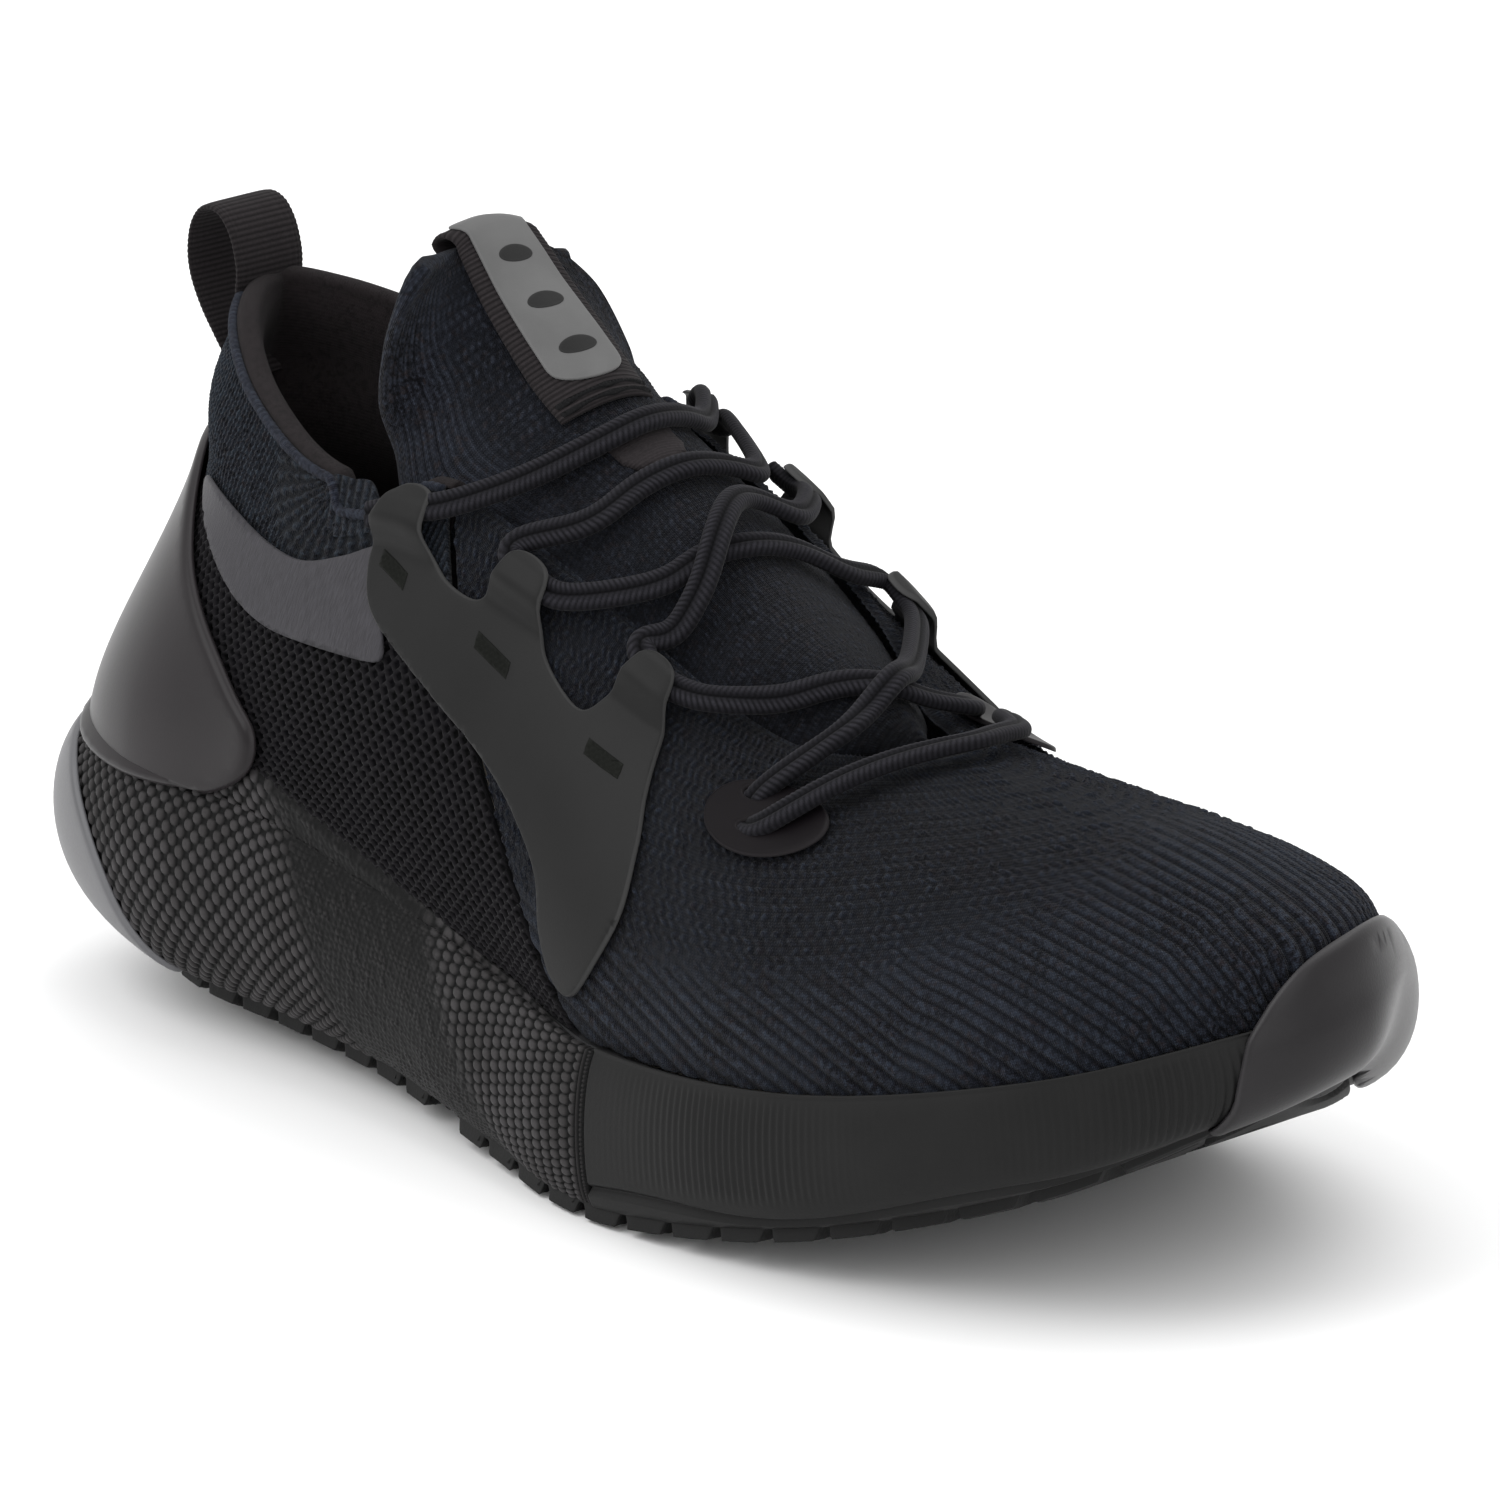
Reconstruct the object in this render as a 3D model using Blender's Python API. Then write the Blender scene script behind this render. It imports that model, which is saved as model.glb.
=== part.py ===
"""Right running shoe: knit bootie upper on a foam midsole with a rubber outsole.

Millimetre tables describe the lasted shape at 20 stations around the shoe.
Station 0 is the back of the heel, 10 is the tip of the toe; stations 1-9 run
along the outer (lateral, -Y) side and 11-19 along the inner (medial, +Y) side.
"""
import math

import bmesh
import bpy
import numpy as np

MM = 0.001
SHIFT_X = -146.8      # places the middle of the length at x = 0
SHIFT_Y = 1.2         # places the middle of the width at y = 0
N = 20

# feather edge, lower control, upper control, opening edge (x, y, z each)
UPPER = (
    (8, 0, 47, 5, 0, 61, 27, 0, 88, 31, 2, 120),
    (18, -25, 47, 14, -25, 60, 38, -10, 87, 40, -12, 117),
    (42, -38, 46, 38, -41, 60, 51, -23, 84, 58, -22, 108),
    (75, -39, 44, 72, -44, 57, 73, -33, 82, 82, -27, 101),
    (105, -39, 38, 104, -45, 55, 107, -40, 80, 109, -23, 103),
    (140, -42, 32, 138, -47, 48, 138, -40, 75, 138, -21, 94),
    (175, -49, 28.5, 170, -51, 44, 165, -41, 66, 165, -18, 81),
    (220, -49, 31.5, 212, -50, 46, 190, -38, 62, 182, -14, 74),
    (262, -36, 40, 256, -38, 57, 226, -22, 68, 194, -8, 73),
    (286, -14, 48, 284, -15, 67, 251, -9, 72, 199, -3, 73),
    (290.5, 4, 50.5, 290, 3, 72, 259, 1, 72, 200, 0, 73),
    (281.5, 21.5, 49.5, 277.5, 21, 71, 249, 12, 69.2, 199, 4, 73),
    (260.5, 39.5, 41.5, 254.5, 39.5, 60.5, 226, 25, 64.3, 194, 9, 73),
    (225, 49, 33, 215, 51, 47, 191, 37, 61.4, 182, 14, 74),
    (178, 46, 29.5, 172, 49, 45, 167, 40, 67, 166, 20, 83),
    (140, 38, 33, 138, 43, 50, 139, 41, 76, 139, 23, 96.5),
    (105, 36, 38, 104, 41, 56, 108, 40, 84, 110, 25, 106.5),
    (75, 38, 43, 73, 40, 58, 76, 32, 86, 85, 28, 108),
    (42, 37, 46, 40, 38, 61, 51, 22, 88, 60, 21, 113),
    (18, 24, 47, 15, 23, 61, 38, 11, 90, 41, 12, 118),
)
# widest line of the sole sidewall
SOLE_MID = (
    (0, 0, 26), (9, -30, 26), (40, -43, 23), (75, -43, 20), (105, -44, 17),
    (140, -49, 14), (175, -54, 13), (222, -53, 17), (265, -38, 27.5), (288.5, -14, 36.5),
    (292.3, 5, 40), (281, 21, 38), (262.5, 41.5, 29.5), (226, 52, 18), (178, 48, 15),
    (140, 42, 17), (105, 39, 19.5), (75, 39, 21), (42, 39.5, 23.5), (11, 29, 26),
)
# tread edge of the outsole
SOLE_LOW = (
    (13, 0, 8), (21, -22, 7.6), (45, -31.5, 5.2), (75, -33.5, 4.2), (105, -37, 3.0),
    (140, -45.5, 1.2), (175, -52.5, 0), (220, -48.5, 6.5), (258, -33, 18), (277, -13, 28.5),
    (282, 4, 33), (274, 18, 30), (255, 35, 17), (222, 45, 6), (178, 43.5, 0),
    (140, 37, 0.2), (105, 33, 0.8), (75, 31.5, 1.5), (45, 31, 2.5), (22, 21, 5),
)
# tongue rows from the free top edge to the vamp: outer edge, crown, inner edge
TONGUE = (
    (95, -13, 134.5, 93, 1, 138.5, 96, 14, 132.5),
    (93.5, -20, 127, 97, 1, 135, 98, 20, 125),
    (91.5, -23, 115, 102.5, 1, 130, 100, 24, 114),
    (92, -21.5, 105, 108.5, 1, 125.5, 101, 25, 107),
    (97, -18.5, 100, 114.5, 1, 121, 104, 24, 103),
    (104, -18.5, 99, 122, 1, 115.5, 108, 22, 101.5),
    (138, -18, 91.5, 138, 1, 106, 138, 19, 93),
    (163, -15, 79.5, 163, 0, 92, 163, 16, 81),
    (181, -11, 71.8, 182, 0, 82.5, 181, 11, 71.8),
    (191, -6.5, 70.8, 193, 0, 77, 191, 7, 70.8),
    (196, -2.5, 70.6, 197.5, 0, 73.6, 196, 3, 70.6),
)
FOAM_LIP = 1.6        # sidewall stands this far outside the feather edge
TREAD = 3.4           # height of the tread band under the sidewall
SKIN = 1.1            # wrap and sidewall skin thickness
GAP = 0.3             # assembly clearance between neighbouring parts
OVER = 0.8            # films and shells sit this far outside the knit
SEG = 48             # segments around the sole
SOLE_P = (0.05, 0.25, 0.45, 0.65, 0.85, 1.0)
SPLIT = 5.15          # tongue row at which the free top flexes
LOOP_AXIS = (33.5, 120.1)   # x and z of the pull loop's flex line
SOCK_AXIS = (283.8, 44.5)   # x and z of the toe end of the sockliner


# ---------------------------------------------------------------- maths
def table(rows, width):
    """Station table in millimetres, moved so the shoe is centred."""
    a = np.array(rows, float).reshape(len(rows), width, 3)
    return a + np.array([SHIFT_X, SHIFT_Y, 0.0])


U_TAB = table(UPPER, 4)
M_TAB = table(SOLE_MID, 1)
L_TAB = table(SOLE_LOW, 1)
T_TAB = table(TONGUE, 3)


def around(tab, t):
    """Smooth closed interpolation through the stations."""
    t = np.asarray(t, float) % N
    i = np.floor(t).astype(int)
    f = (t - i)[:, None, None]
    p0, p1, p2, p3 = tab[(i - 1) % N], tab[i % N], tab[(i + 1) % N], tab[(i + 2) % N]
    m1, m2 = (p2 - p0) / 2, (p3 - p1) / 2
    a = (2 * f ** 3 - 3 * f ** 2 + 1) * p1 + (f ** 3 - 2 * f ** 2 + f) * m1
    return a + (-2 * f ** 3 + 3 * f ** 2) * p2 + (f ** 3 - f ** 2) * m2


def bezier(p0, p1, p2, p3, w):
    w = w[:, None]
    return (1 - w) ** 3 * p0 + 3 * (1 - w) ** 2 * w * p1 + 3 * (1 - w) * w * w * p2 + w ** 3 * p3


def upper_at(t, w):
    """Outer face of the knit: t around the shoe, w from feather edge to opening."""
    p = around(U_TAB, t)
    return bezier(p[:, 0], p[:, 1], p[:, 2], p[:, 3], w)


def plan_normal(t):
    """Outward horizontal direction of the feather edge."""
    d = around(U_TAB, t + 0.02)[:, 0] - around(U_TAB, t - 0.02)[:, 0]
    n = np.stack([d[:, 1], -d[:, 0], np.zeros(len(d))], 1)
    return n / np.linalg.norm(n, axis=1)[:, None]


def sole_at(t, p):
    """Sole sidewall: p from the tread edge (0) to the lip at the upper (1)."""
    low = around(L_TAB, t)[:, 0] + np.array([0, 0, TREAD])
    mid = around(M_TAB, t)[:, 0]
    top = around(U_TAB, t)[:, 0] + plan_normal(t) * FOAM_LIP + np.array([0, 0, 0.5])
    c = (8 * mid - low - top) / 6
    c1 = c.copy()
    c2 = c.copy()
    c1[:, 2] = low[:, 2] * 0.72 + mid[:, 2] * 0.28
    c2[:, 2] = mid[:, 2] * 0.35 + top[:, 2] * 0.65
    return bezier(low, c1, c2, top, p)


def tongue_at(k, s):
    """Tongue: k along the rows, s across from the outer (0) to the inner edge (1)."""
    k = np.clip(np.asarray(k, float), 0, len(TONGUE) - 1 - 1e-9)
    i = np.floor(k).astype(int)
    f = (k - i)[:, None, None]
    n = len(TONGUE) - 1
    p0, p1 = T_TAB[np.clip(i - 1, 0, n)], T_TAB[i]
    p2, p3 = T_TAB[np.clip(i + 1, 0, n)], T_TAB[np.clip(i + 2, 0, n)]
    m1, m2 = (p2 - p0) / 2, (p3 - p1) / 2
    a = (2 * f ** 3 - 3 * f ** 2 + 1) * p1 + (f ** 3 - 2 * f ** 2 + f) * m1
    a = a + (-2 * f ** 3 + 3 * f ** 2) * p2 + (f ** 3 - f ** 2) * m2
    lo, mid, hi = a[:, 0], a[:, 1], a[:, 2]
    c = 2 * mid - (lo + hi) / 2
    s = s[:, None]
    return (1 - s) ** 2 * lo + 2 * s * (1 - s) * c + s * s * hi


def tongue_face(s, k):
    return tongue_at(k, s)


def lifted(fn, u, v, off):
    """Point on a surface moved along its outward normal by off millimetres."""
    du, dv = (-0.02, 0.01) if fn is tongue_face else (0.02, 0.01)
    a = fn(u + du, v) - fn(u - du, v)
    b = fn(u, v + dv) - fn(u, v - dv)
    n = np.cross(a, b)
    n /= np.linalg.norm(n, axis=1)[:, None] + 1e-12
    return fn(u, v) + n * np.reshape(off, (-1, 1))


def over_at(t, s):
    """One outer face from the sole sidewall (s < 0) on to the upper (s > 0)."""
    low = sole_at(t, np.clip(1 + s, 0, 1))
    up = upper_at(t, np.clip(s, 0, 1))
    ledge = plan_normal(t) * (FOAM_LIP * np.exp(-np.clip(s, 0, 1) / 0.10))[:, None]
    return np.where((s < 0)[:, None], low, up + ledge)


# ---------------------------------------------------------------- mesh tools
def clear_scene():
    for ob in list(bpy.data.objects):
        bpy.data.objects.remove(ob, do_unlink=True)


def material(name, rgb, rough, metal=0.0):
    m = bpy.data.materials.get(name) or bpy.data.materials.new(name)
    m.use_nodes = True
    b = m.node_tree.nodes["Principled BSDF"]
    b.inputs["Base Color"].default_value = (*rgb, 1.0)
    b.inputs["Roughness"].default_value = rough
    b.inputs["Metallic"].default_value = metal
    m.diffuse_color = (*rgb, 1.0)
    return m


def finish(name, bm, mat):
    """Turn a bmesh in millimetres into a named object with outward faces."""
    bmesh.ops.scale(bm, vec=(MM, MM, MM), verts=bm.verts)
    bmesh.ops.recalc_face_normals(bm, faces=bm.faces)
    me = bpy.data.meshes.new(name)
    bm.to_mesh(me)
    bm.free()
    me.materials.append(mat)
    ob = bpy.data.objects.new(name, me)
    COLL.objects.link(ob)
    return ob


def skin_of(bm, grid, inner, closed):
    """Close two matching grids of points (rows by columns) into a solid."""
    rows, cols = len(grid), len(grid[0])
    va = [[bm.verts.new(p) for p in row] for row in grid]
    vb = [[bm.verts.new(p) for p in row] for row in inner]
    span = cols if closed else cols - 1
    for i in range(rows - 1):
        for j in range(span):
            k = (j + 1) % cols
            bm.faces.new((va[i][j], va[i][k], va[i + 1][k], va[i + 1][j]))
            bm.faces.new((vb[i][j], vb[i + 1][j], vb[i + 1][k], vb[i][k]))
    for j in range(span):
        k = (j + 1) % cols
        bm.faces.new((va[0][j], vb[0][j], vb[0][k], va[0][k]))
        bm.faces.new((va[-1][j], va[-1][k], vb[-1][k], vb[-1][j]))
    if not closed:
        for i in range(rows - 1):
            bm.faces.new((va[i][0], va[i + 1][0], vb[i + 1][0], vb[i][0]))
            bm.faces.new((va[i][-1], vb[i][-1], vb[i + 1][-1], va[i + 1][-1]))


def panel(name, mat, fn, us, vs, inner, outer, warp=None):
    """Solid sheet over a surface. us and vs may be warped per row; inner and
    outer are millimetre offsets, plain numbers or functions of (u, v)."""
    front, back = [], []
    for v in vs:
        u = np.array([warp(a, v) if warp else a for a in us], float)
        vv = np.full(len(u), float(v))
        a = outer(u, vv) if callable(outer) else np.full(len(u), float(outer))
        b = inner(u, vv) if callable(inner) else np.full(len(u), float(inner))
        front.append(lifted(fn, u, vv, a))
        back.append(lifted(fn, u, vv, b))
    bm = bmesh.new()
    skin_of(bm, front, back, False)
    return finish(name, bm, mat)


def patch(name, mat, outline, fn, inner, outer, du, dv, hole=None):
    """Solid film cut to an outline in surface coordinates, with an optional hole."""
    bm = bmesh.new()
    loops = [outline] + ([hole] if hole else [])
    for loop in loops:
        vs = [bm.verts.new((u, v, 0)) for u, v in loop]
        for i in range(len(vs)):
            bm.edges.new((vs[i], vs[(i + 1) % len(vs)]))
    bmesh.ops.triangle_fill(bm, edges=bm.edges[:], use_beauty=True)
    us = [p[0] for p in outline]
    vs = [p[1] for p in outline]
    for lo, hi, step, axis in ((min(us), max(us), du, 0), (min(vs), max(vs), dv, 1)):
        n = max(1, int((hi - lo) / step + 0.5))
        for i in range(1, n):
            co = [0.0, 0.0, 0.0]
            no = [0.0, 0.0, 0.0]
            co[axis] = lo + (hi - lo) * i / n
            no[axis] = 1.0
            geom = bm.verts[:] + bm.edges[:] + bm.faces[:]
            bmesh.ops.bisect_plane(bm, geom=geom, dist=1e-6, plane_co=co, plane_no=no)
    bmesh.ops.triangulate(bm, faces=bm.faces[:])
    bm.verts.ensure_lookup_table()
    uv = np.array([v.co[:2] for v in bm.verts])
    a = outer(uv[:, 0], uv[:, 1]) if callable(outer) else np.full(len(uv), float(outer))
    b = inner(uv[:, 0], uv[:, 1]) if callable(inner) else np.full(len(uv), float(inner))
    top = lifted(fn, uv[:, 0], uv[:, 1], a)
    low = lifted(fn, uv[:, 0], uv[:, 1], b)
    rim = [(e.verts[0].index, e.verts[1].index) for e in bm.edges if e.is_boundary]
    faces = [[v.index for v in f.verts] for f in bm.faces]
    bm.free()
    out = bmesh.new()
    va = [out.verts.new(p) for p in top]
    vb = [out.verts.new(p) for p in low]
    for f in faces:
        out.faces.new([va[i] for i in f])
        out.faces.new([vb[i] for i in reversed(f)])
    for i, j in rim:
        out.faces.new((va[i], va[j], vb[j], vb[i]))
    return finish(name, out, mat)


def tube(name, mat, pts, radius):
    """Round cord along a poly line, capped at both ends."""
    cu = bpy.data.curves.new(name, "CURVE")
    cu.dimensions = "3D"
    cu.bevel_depth = radius * MM
    cu.bevel_resolution = 1
    cu.use_fill_caps = True
    sp = cu.splines.new("POLY")
    sp.points.add(len(pts) - 1)
    for i, p in enumerate(pts):
        sp.points[i].co = (p[0] * MM, p[1] * MM, p[2] * MM, 1.0)
    cu.materials.append(mat)
    ob = bpy.data.objects.new(name, cu)
    COLL.objects.link(ob)
    return ob


def mirrored(outline):
    """The same outline on the inner side of the shoe."""
    return [(N - u, v) for u, v in reversed(outline)]


# ---------------------------------------------------------------- sole
def split_line(w):
    """Station of the hidden seam between quarter mesh and vamp knit."""
    return 5.75 - 1.75 * min(1.0, max(0.0, w)) ** 1.1


def cap(bm, ring, depth, cols):
    """Fill a closed ring with strips from the outer to the inner side."""
    n = len(ring)
    half = n // 2
    strips = []
    for k in range(1, half):
        a, b = ring[k], ring[n - k]
        row = [a]
        for c in range(1, cols):
            f = c / cols
            q = a.co.lerp(b.co, f)
            q.z += depth(k / half, f)
            row.append(bm.verts.new(q))
        row.append(b)
        strips.append(row)
    for r0, r1 in zip(strips, strips[1:]):
        for c in range(cols):
            bm.faces.new((r0[c], r1[c], r1[c + 1], r0[c + 1]))
    for tip, row in ((ring[0], strips[0]), (ring[half], strips[-1])):
        for c in range(cols):
            bm.faces.new((tip, row[c], row[c + 1]))


def bowl_depth(k, f):
    """Footbed hollow below the feather edge, deepest along the middle."""
    side = 1 - (2 * f - 1) ** 4
    return -side * (9.0 * min(1, (1 - k) * 5 + 0.2) * min(1, k * 6 + 0.2))


def midsole_core():
    n = SEG
    t = np.arange(n) * N / n
    rings = []
    low = around(L_TAB, t)[:, 0] - plan_normal(t) * 2.2 + np.array([0, 0, TREAD + 0.25])
    rings.append(low)
    for p in SOLE_P[:-1]:
        rings.append(lifted(sole_at, t, np.full(n, p), np.full(n, -SKIN - GAP)))
    lip = around(U_TAB, t)[:, 0]
    rings.append(lip - plan_normal(t) * 0.15 + np.array([0, 0, -0.9]))
    rings.append(lip - plan_normal(t) * 0.5 + np.array([0, 0, -1.2]))
    rings.append(lip - plan_normal(t) * 1.9 + np.array([0, 0, -1.2]))
    rings.append(lip - plan_normal(t) * 4.2 + np.array([0, 0, -3.4]))
    bm = bmesh.new()
    vs = [[bm.verts.new(p) for p in r] for r in rings]
    for a, b in zip(vs, vs[1:]):
        for j in range(n):
            k = (j + 1) % n
            bm.faces.new((a[j], a[k], b[k], b[j]))
    cap(bm, vs[0], lambda k, f: 0.0, 3)
    cap(bm, vs[-1], bowl_depth, 6)
    return finish("midsole_core", bm, MATS["foam"])


def footbed_sheet(name, mat, edge, lo, hi, first, last):
    """Sheet lying in the footbed hollow, lo to hi millimetres above it."""
    def spot(k, f, h):
        t = np.array([k * N / 2, N - k * N / 2])
        rim = around(U_TAB, t)[:, 0] - plan_normal(t) * 4.2 + np.array([0, 0, -3.4])
        q = rim[0] * (1 - f) + rim[1] * f
        g = max(1 / 6, min(5 / 6, f))
        drop = bowl_depth(k, g) * min(1.0, f * 6, (1 - f) * 6)
        return q + np.array([0, 0, drop + h])
    ks = [2.0 * i / SEG for i in range(first, last + 1)]
    fs = [edge, 1 / 6, 2 / 6, 3 / 6, 4 / 6, 5 / 6, 1 - edge]
    top = [[spot(k, f, hi) for f in fs] for k in ks]
    low = [[spot(k, f, lo) for f in fs] for k in ks]
    bm = bmesh.new()
    skin_of(bm, top, low, False)
    return finish(name, bm, mat)


def sole_skins():
    rear = [-5.985] + [i * N / SEG for i in range(-14, 15)] + [5.985]
    panel("midsole_mesh_wrap", MATS["wrap"], sole_at, rear, SOLE_P, -SKIN, 0.0)
    fore = [5.997] + [i * N / SEG for i in range(15, 34)] + [14.003]
    panel("forefoot_sidewall", MATS["sidewall"], sole_at, fore, SOLE_P, -SKIN, 0.0)
    side = [(2.0, 0.02), (2.03, 0.12), (1.98, 0.3), (1.88, 0.5), (1.66, 0.7), (1.3, 0.86),
            (0.7, 0.93)]
    clip = [(-u, v) for u, v in side] + [(u, v) for u, v in reversed(side)]
    patch("heel_clip", MATS["clip"], clip, sole_at, 0.8, 1.9, 0.25, 0.16)
    bump = [(9.0, -0.95), (11.9, -0.95), (11.95, -0.5), (11.9, -0.05), (11.6, 0.05),
            (11.0, 0.13), (10.3, 0.18), (9.75, 0.17), (9.4, 0.12), (9.15, 0.04),
            (9.0, -0.1), (8.93, -0.5)]
    patch("toe_bumper", MATS["bumper"], bump, over_at, 0.8, 2.0, 0.33, 0.15)


def tread_edge(x, side):
    """Half width of the outsole at x, on one side."""
    t = np.linspace(0.3, 9.7, 80) if side < 0 else np.linspace(19.7, 10.3, 80)
    p = around(L_TAB, t)[:, 0]
    return float(np.interp(x, p[:, 0], p[:, 1]))


def tread_z(x, f):
    """Foot and top of the tread at x, f across from the outer (0) to the inner side (1)."""
    t = np.linspace(0.3, 9.7, 80)
    a, b = around(L_TAB, t)[:, 0], around(L_TAB, N - t)[:, 0]
    chord = np.interp(x, a[:, 0], a[:, 2]) * (1 - f) + np.interp(x, b[:, 0], b[:, 2]) * f
    rise = np.interp(x, np.array([30, 55, 185, 205]) + SHIFT_X, [1, 0, 0, 1])
    edge = max(0.0, (abs(2 * f - 1) - 0.4) / 0.6) ** 2
    foot = max(0.0, chord * (rise + (1 - rise) * edge))
    return float(foot), float(chord + TREAD - 0.3)


def outsole(name, x0, x1, pitch, groove, wave):
    """Rubber tread: transverse wavy lugs on a thin base sheet."""
    x0, x1 = x0 + SHIFT_X, x1 + SHIFT_X
    xs, hs = [], []
    count = int(round((x1 - x0 + groove) / pitch))
    step = (x1 - x0 + groove) / count
    for i in range(count):
        a = x0 + i * step
        b = a + step - groove
        for x, h in ((a, 0.0), (b, 0.0)):
            xs.append(x)
            hs.append(h)
        if i < count - 1:
            for x in (b + 0.8, a + step - 0.8):
                xs.append(x)
                hs.append(1.5)
    cols = 7
    bm = bmesh.new()
    low, top = [], []
    for x, h in zip(xs, hs):
        r0, r1 = [], []
        for c in range(cols):
            f = c / (cols - 1)
            inner = 0 < c < cols - 1
            px = x + (wave * (1 if c % 2 else -1) * 0.5 if inner and xs[0] < x < xs[-1] else 0.0)
            ya, yb = tread_edge(px, -1) + 0.4, tread_edge(px, 1) - 0.4
            y = ya + (yb - ya) * f
            z, roof = tread_z(px, f)
            curl = 0.0 if inner else 0.9
            r0.append((px, y, z + max(h, curl)))
            r1.append((px, y, roof))
        low.append(r0)
        top.append(r1)
    skin_of(bm, top, low, False)
    return finish(name, bm, MATS["outsole"])


# ---------------------------------------------------------------- upper
def pad(t, w):
    """Extra depth of the collar padding behind the ankle."""
    d = np.minimum(t % N, N - t % N)
    along = np.exp(-((d - 2.0) / 1.1) ** 2)
    up = np.clip(np.sin(math.pi * np.clip((w - 0.52) / 0.46, 0, 1)), 0, 1)
    return up * (1.2 + 3.0 * along)


def upper_panels():
    ws = [0.0, 0.1, 0.22, 0.36, 0.5, 0.64, 0.78, 0.9, 1.0]
    us = [i / 26 for i in range(27)]

    def vamp(a, w):
        s = split_line(w) + 0.03
        return s + (N - 2 * s) * a
    panel("vamp_knit", MATS["vamp"], upper_at, us, ws, -1.0, 0.0, vamp)

    low = [0.0, 0.12, 0.26, 0.4, 0.54, 0.69]
    sides = [i / 14 for i in range(15)]
    panel("quarter_mesh_lateral", MATS["mesh"], upper_at, sides, low, -1.0, 0.0,
          lambda a, w: 0.04 + (split_line(w) - 0.07) * a ** 1.15)
    panel("quarter_mesh_medial", MATS["mesh"], upper_at, sides, low, -1.0, 0.0,
          lambda a, w: N - 0.04 - (split_line(w) - 0.07) * a ** 1.15)

    high = [0.705, 0.8, 0.9, 0.97, 1.0]
    ring = [i / 24 for i in range(25)]

    def collar(a, w):
        s = split_line(w) - 0.04
        return -s + 2 * s * a
    panel("collar_knit", MATS["collar"], upper_at, ring, high, -1.0, 0.0, collar)
    flap = [i / 5 for i in range(6)]
    flat = [i / 14 for i in range(15)]
    panel("gusset_lateral", MATS["collar"], upper_at, flap, [1.015, 1.04, 1.07], -0.5, 0.5,
          lambda a, w: 2.95 + 0.5 * a)
    panel("gusset_medial", MATS["collar"], upper_at, flap, [1.015, 1.04, 1.07], -0.5, 0.5,
          lambda a, w: 17.05 - 0.5 * a)

    full = [0.03, 0.2, 0.38, 0.55, 0.66, 0.76, 0.86, 0.985]
    wide = [i / 18 for i in range(19)]

    def lining(a, w):
        return -3.5 + 7.0 * a
    panel("collar_lining", MATS["lining"], upper_at, wide, full,
          lambda t, w: -(4.0 + pad(t, w)), lambda t, w: -(3.2 + pad(t, w)), lining)
    foam = [0.57, 0.68, 0.78, 0.87, 0.94]
    panel("collar_foam", MATS["foam_soft"], upper_at, wide, foam,
          lambda t, w: -(2.6 + pad(t, w)), -1.8, lambda a, w: -3.3 + 6.6 * a)
    panel("heel_stiffener", MATS["board"], upper_at, flat, [0.06, 0.2, 0.35, 0.5],
          -2.6, -1.8, lambda a, w: -2.7 + 5.4 * a)
    panel("toe_puff", MATS["board"], upper_at, flap, [0.03, 0.1, 0.17, 0.24],
          -2.8, -2.0, lambda a, w: 8.5 + 3.2 * a)


BAND = [(1.78, 0.73), (2.2, 0.67), (2.8, 0.605), (3.3, 0.585), (3.62, 0.61), (3.56, 0.70),
        (3.45, 0.79), (3.2, 0.775), (2.85, 0.77), (2.3, 0.785), (1.85, 0.78)]
EYESTAY = [(3.72, 0.80), (3.90, 0.70), (4.40, 0.62), (4.88, 0.56), (5.25, 0.49), (5.52, 0.40),
           (5.60, 0.22), (5.72, 0.10), (5.88, 0.08), (6.04, 0.22), (6.22, 0.42), (6.24, 0.60),
           (6.16, 0.72), (6.04, 0.87), (5.93, 0.955), (5.70, 0.965), (5.60, 0.86), (5.48, 0.785),
           (5.22, 0.80), (5.04, 0.85), (4.96, 0.955), (4.72, 0.965), (4.62, 0.88), (4.52, 0.835),
           (4.28, 0.84), (4.10, 0.89), (4.02, 0.97), (3.80, 0.975), (3.70, 0.90)]


def finger_rise(u, v):
    """The finger tips stand off the knit to leave a tunnel for the lace."""
    u = np.where(u > N / 2, N - u, u)
    tip = np.zeros(len(u))
    for c in (3.88, 4.83, 5.82):
        tip = np.maximum(tip, np.exp(-((u - c) / 0.30) ** 4))
    k = np.clip((v - 0.845) / 0.06, 0, 1)
    return tip * k * k * (3 - 2 * k) * 4.4


def ellipse(cu, cv, ru, rv, n):
    return [(cu + ru * math.cos(2 * math.pi * i / n), cv + rv * math.sin(2 * math.pi * i / n))
            for i in range(n)]


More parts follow.
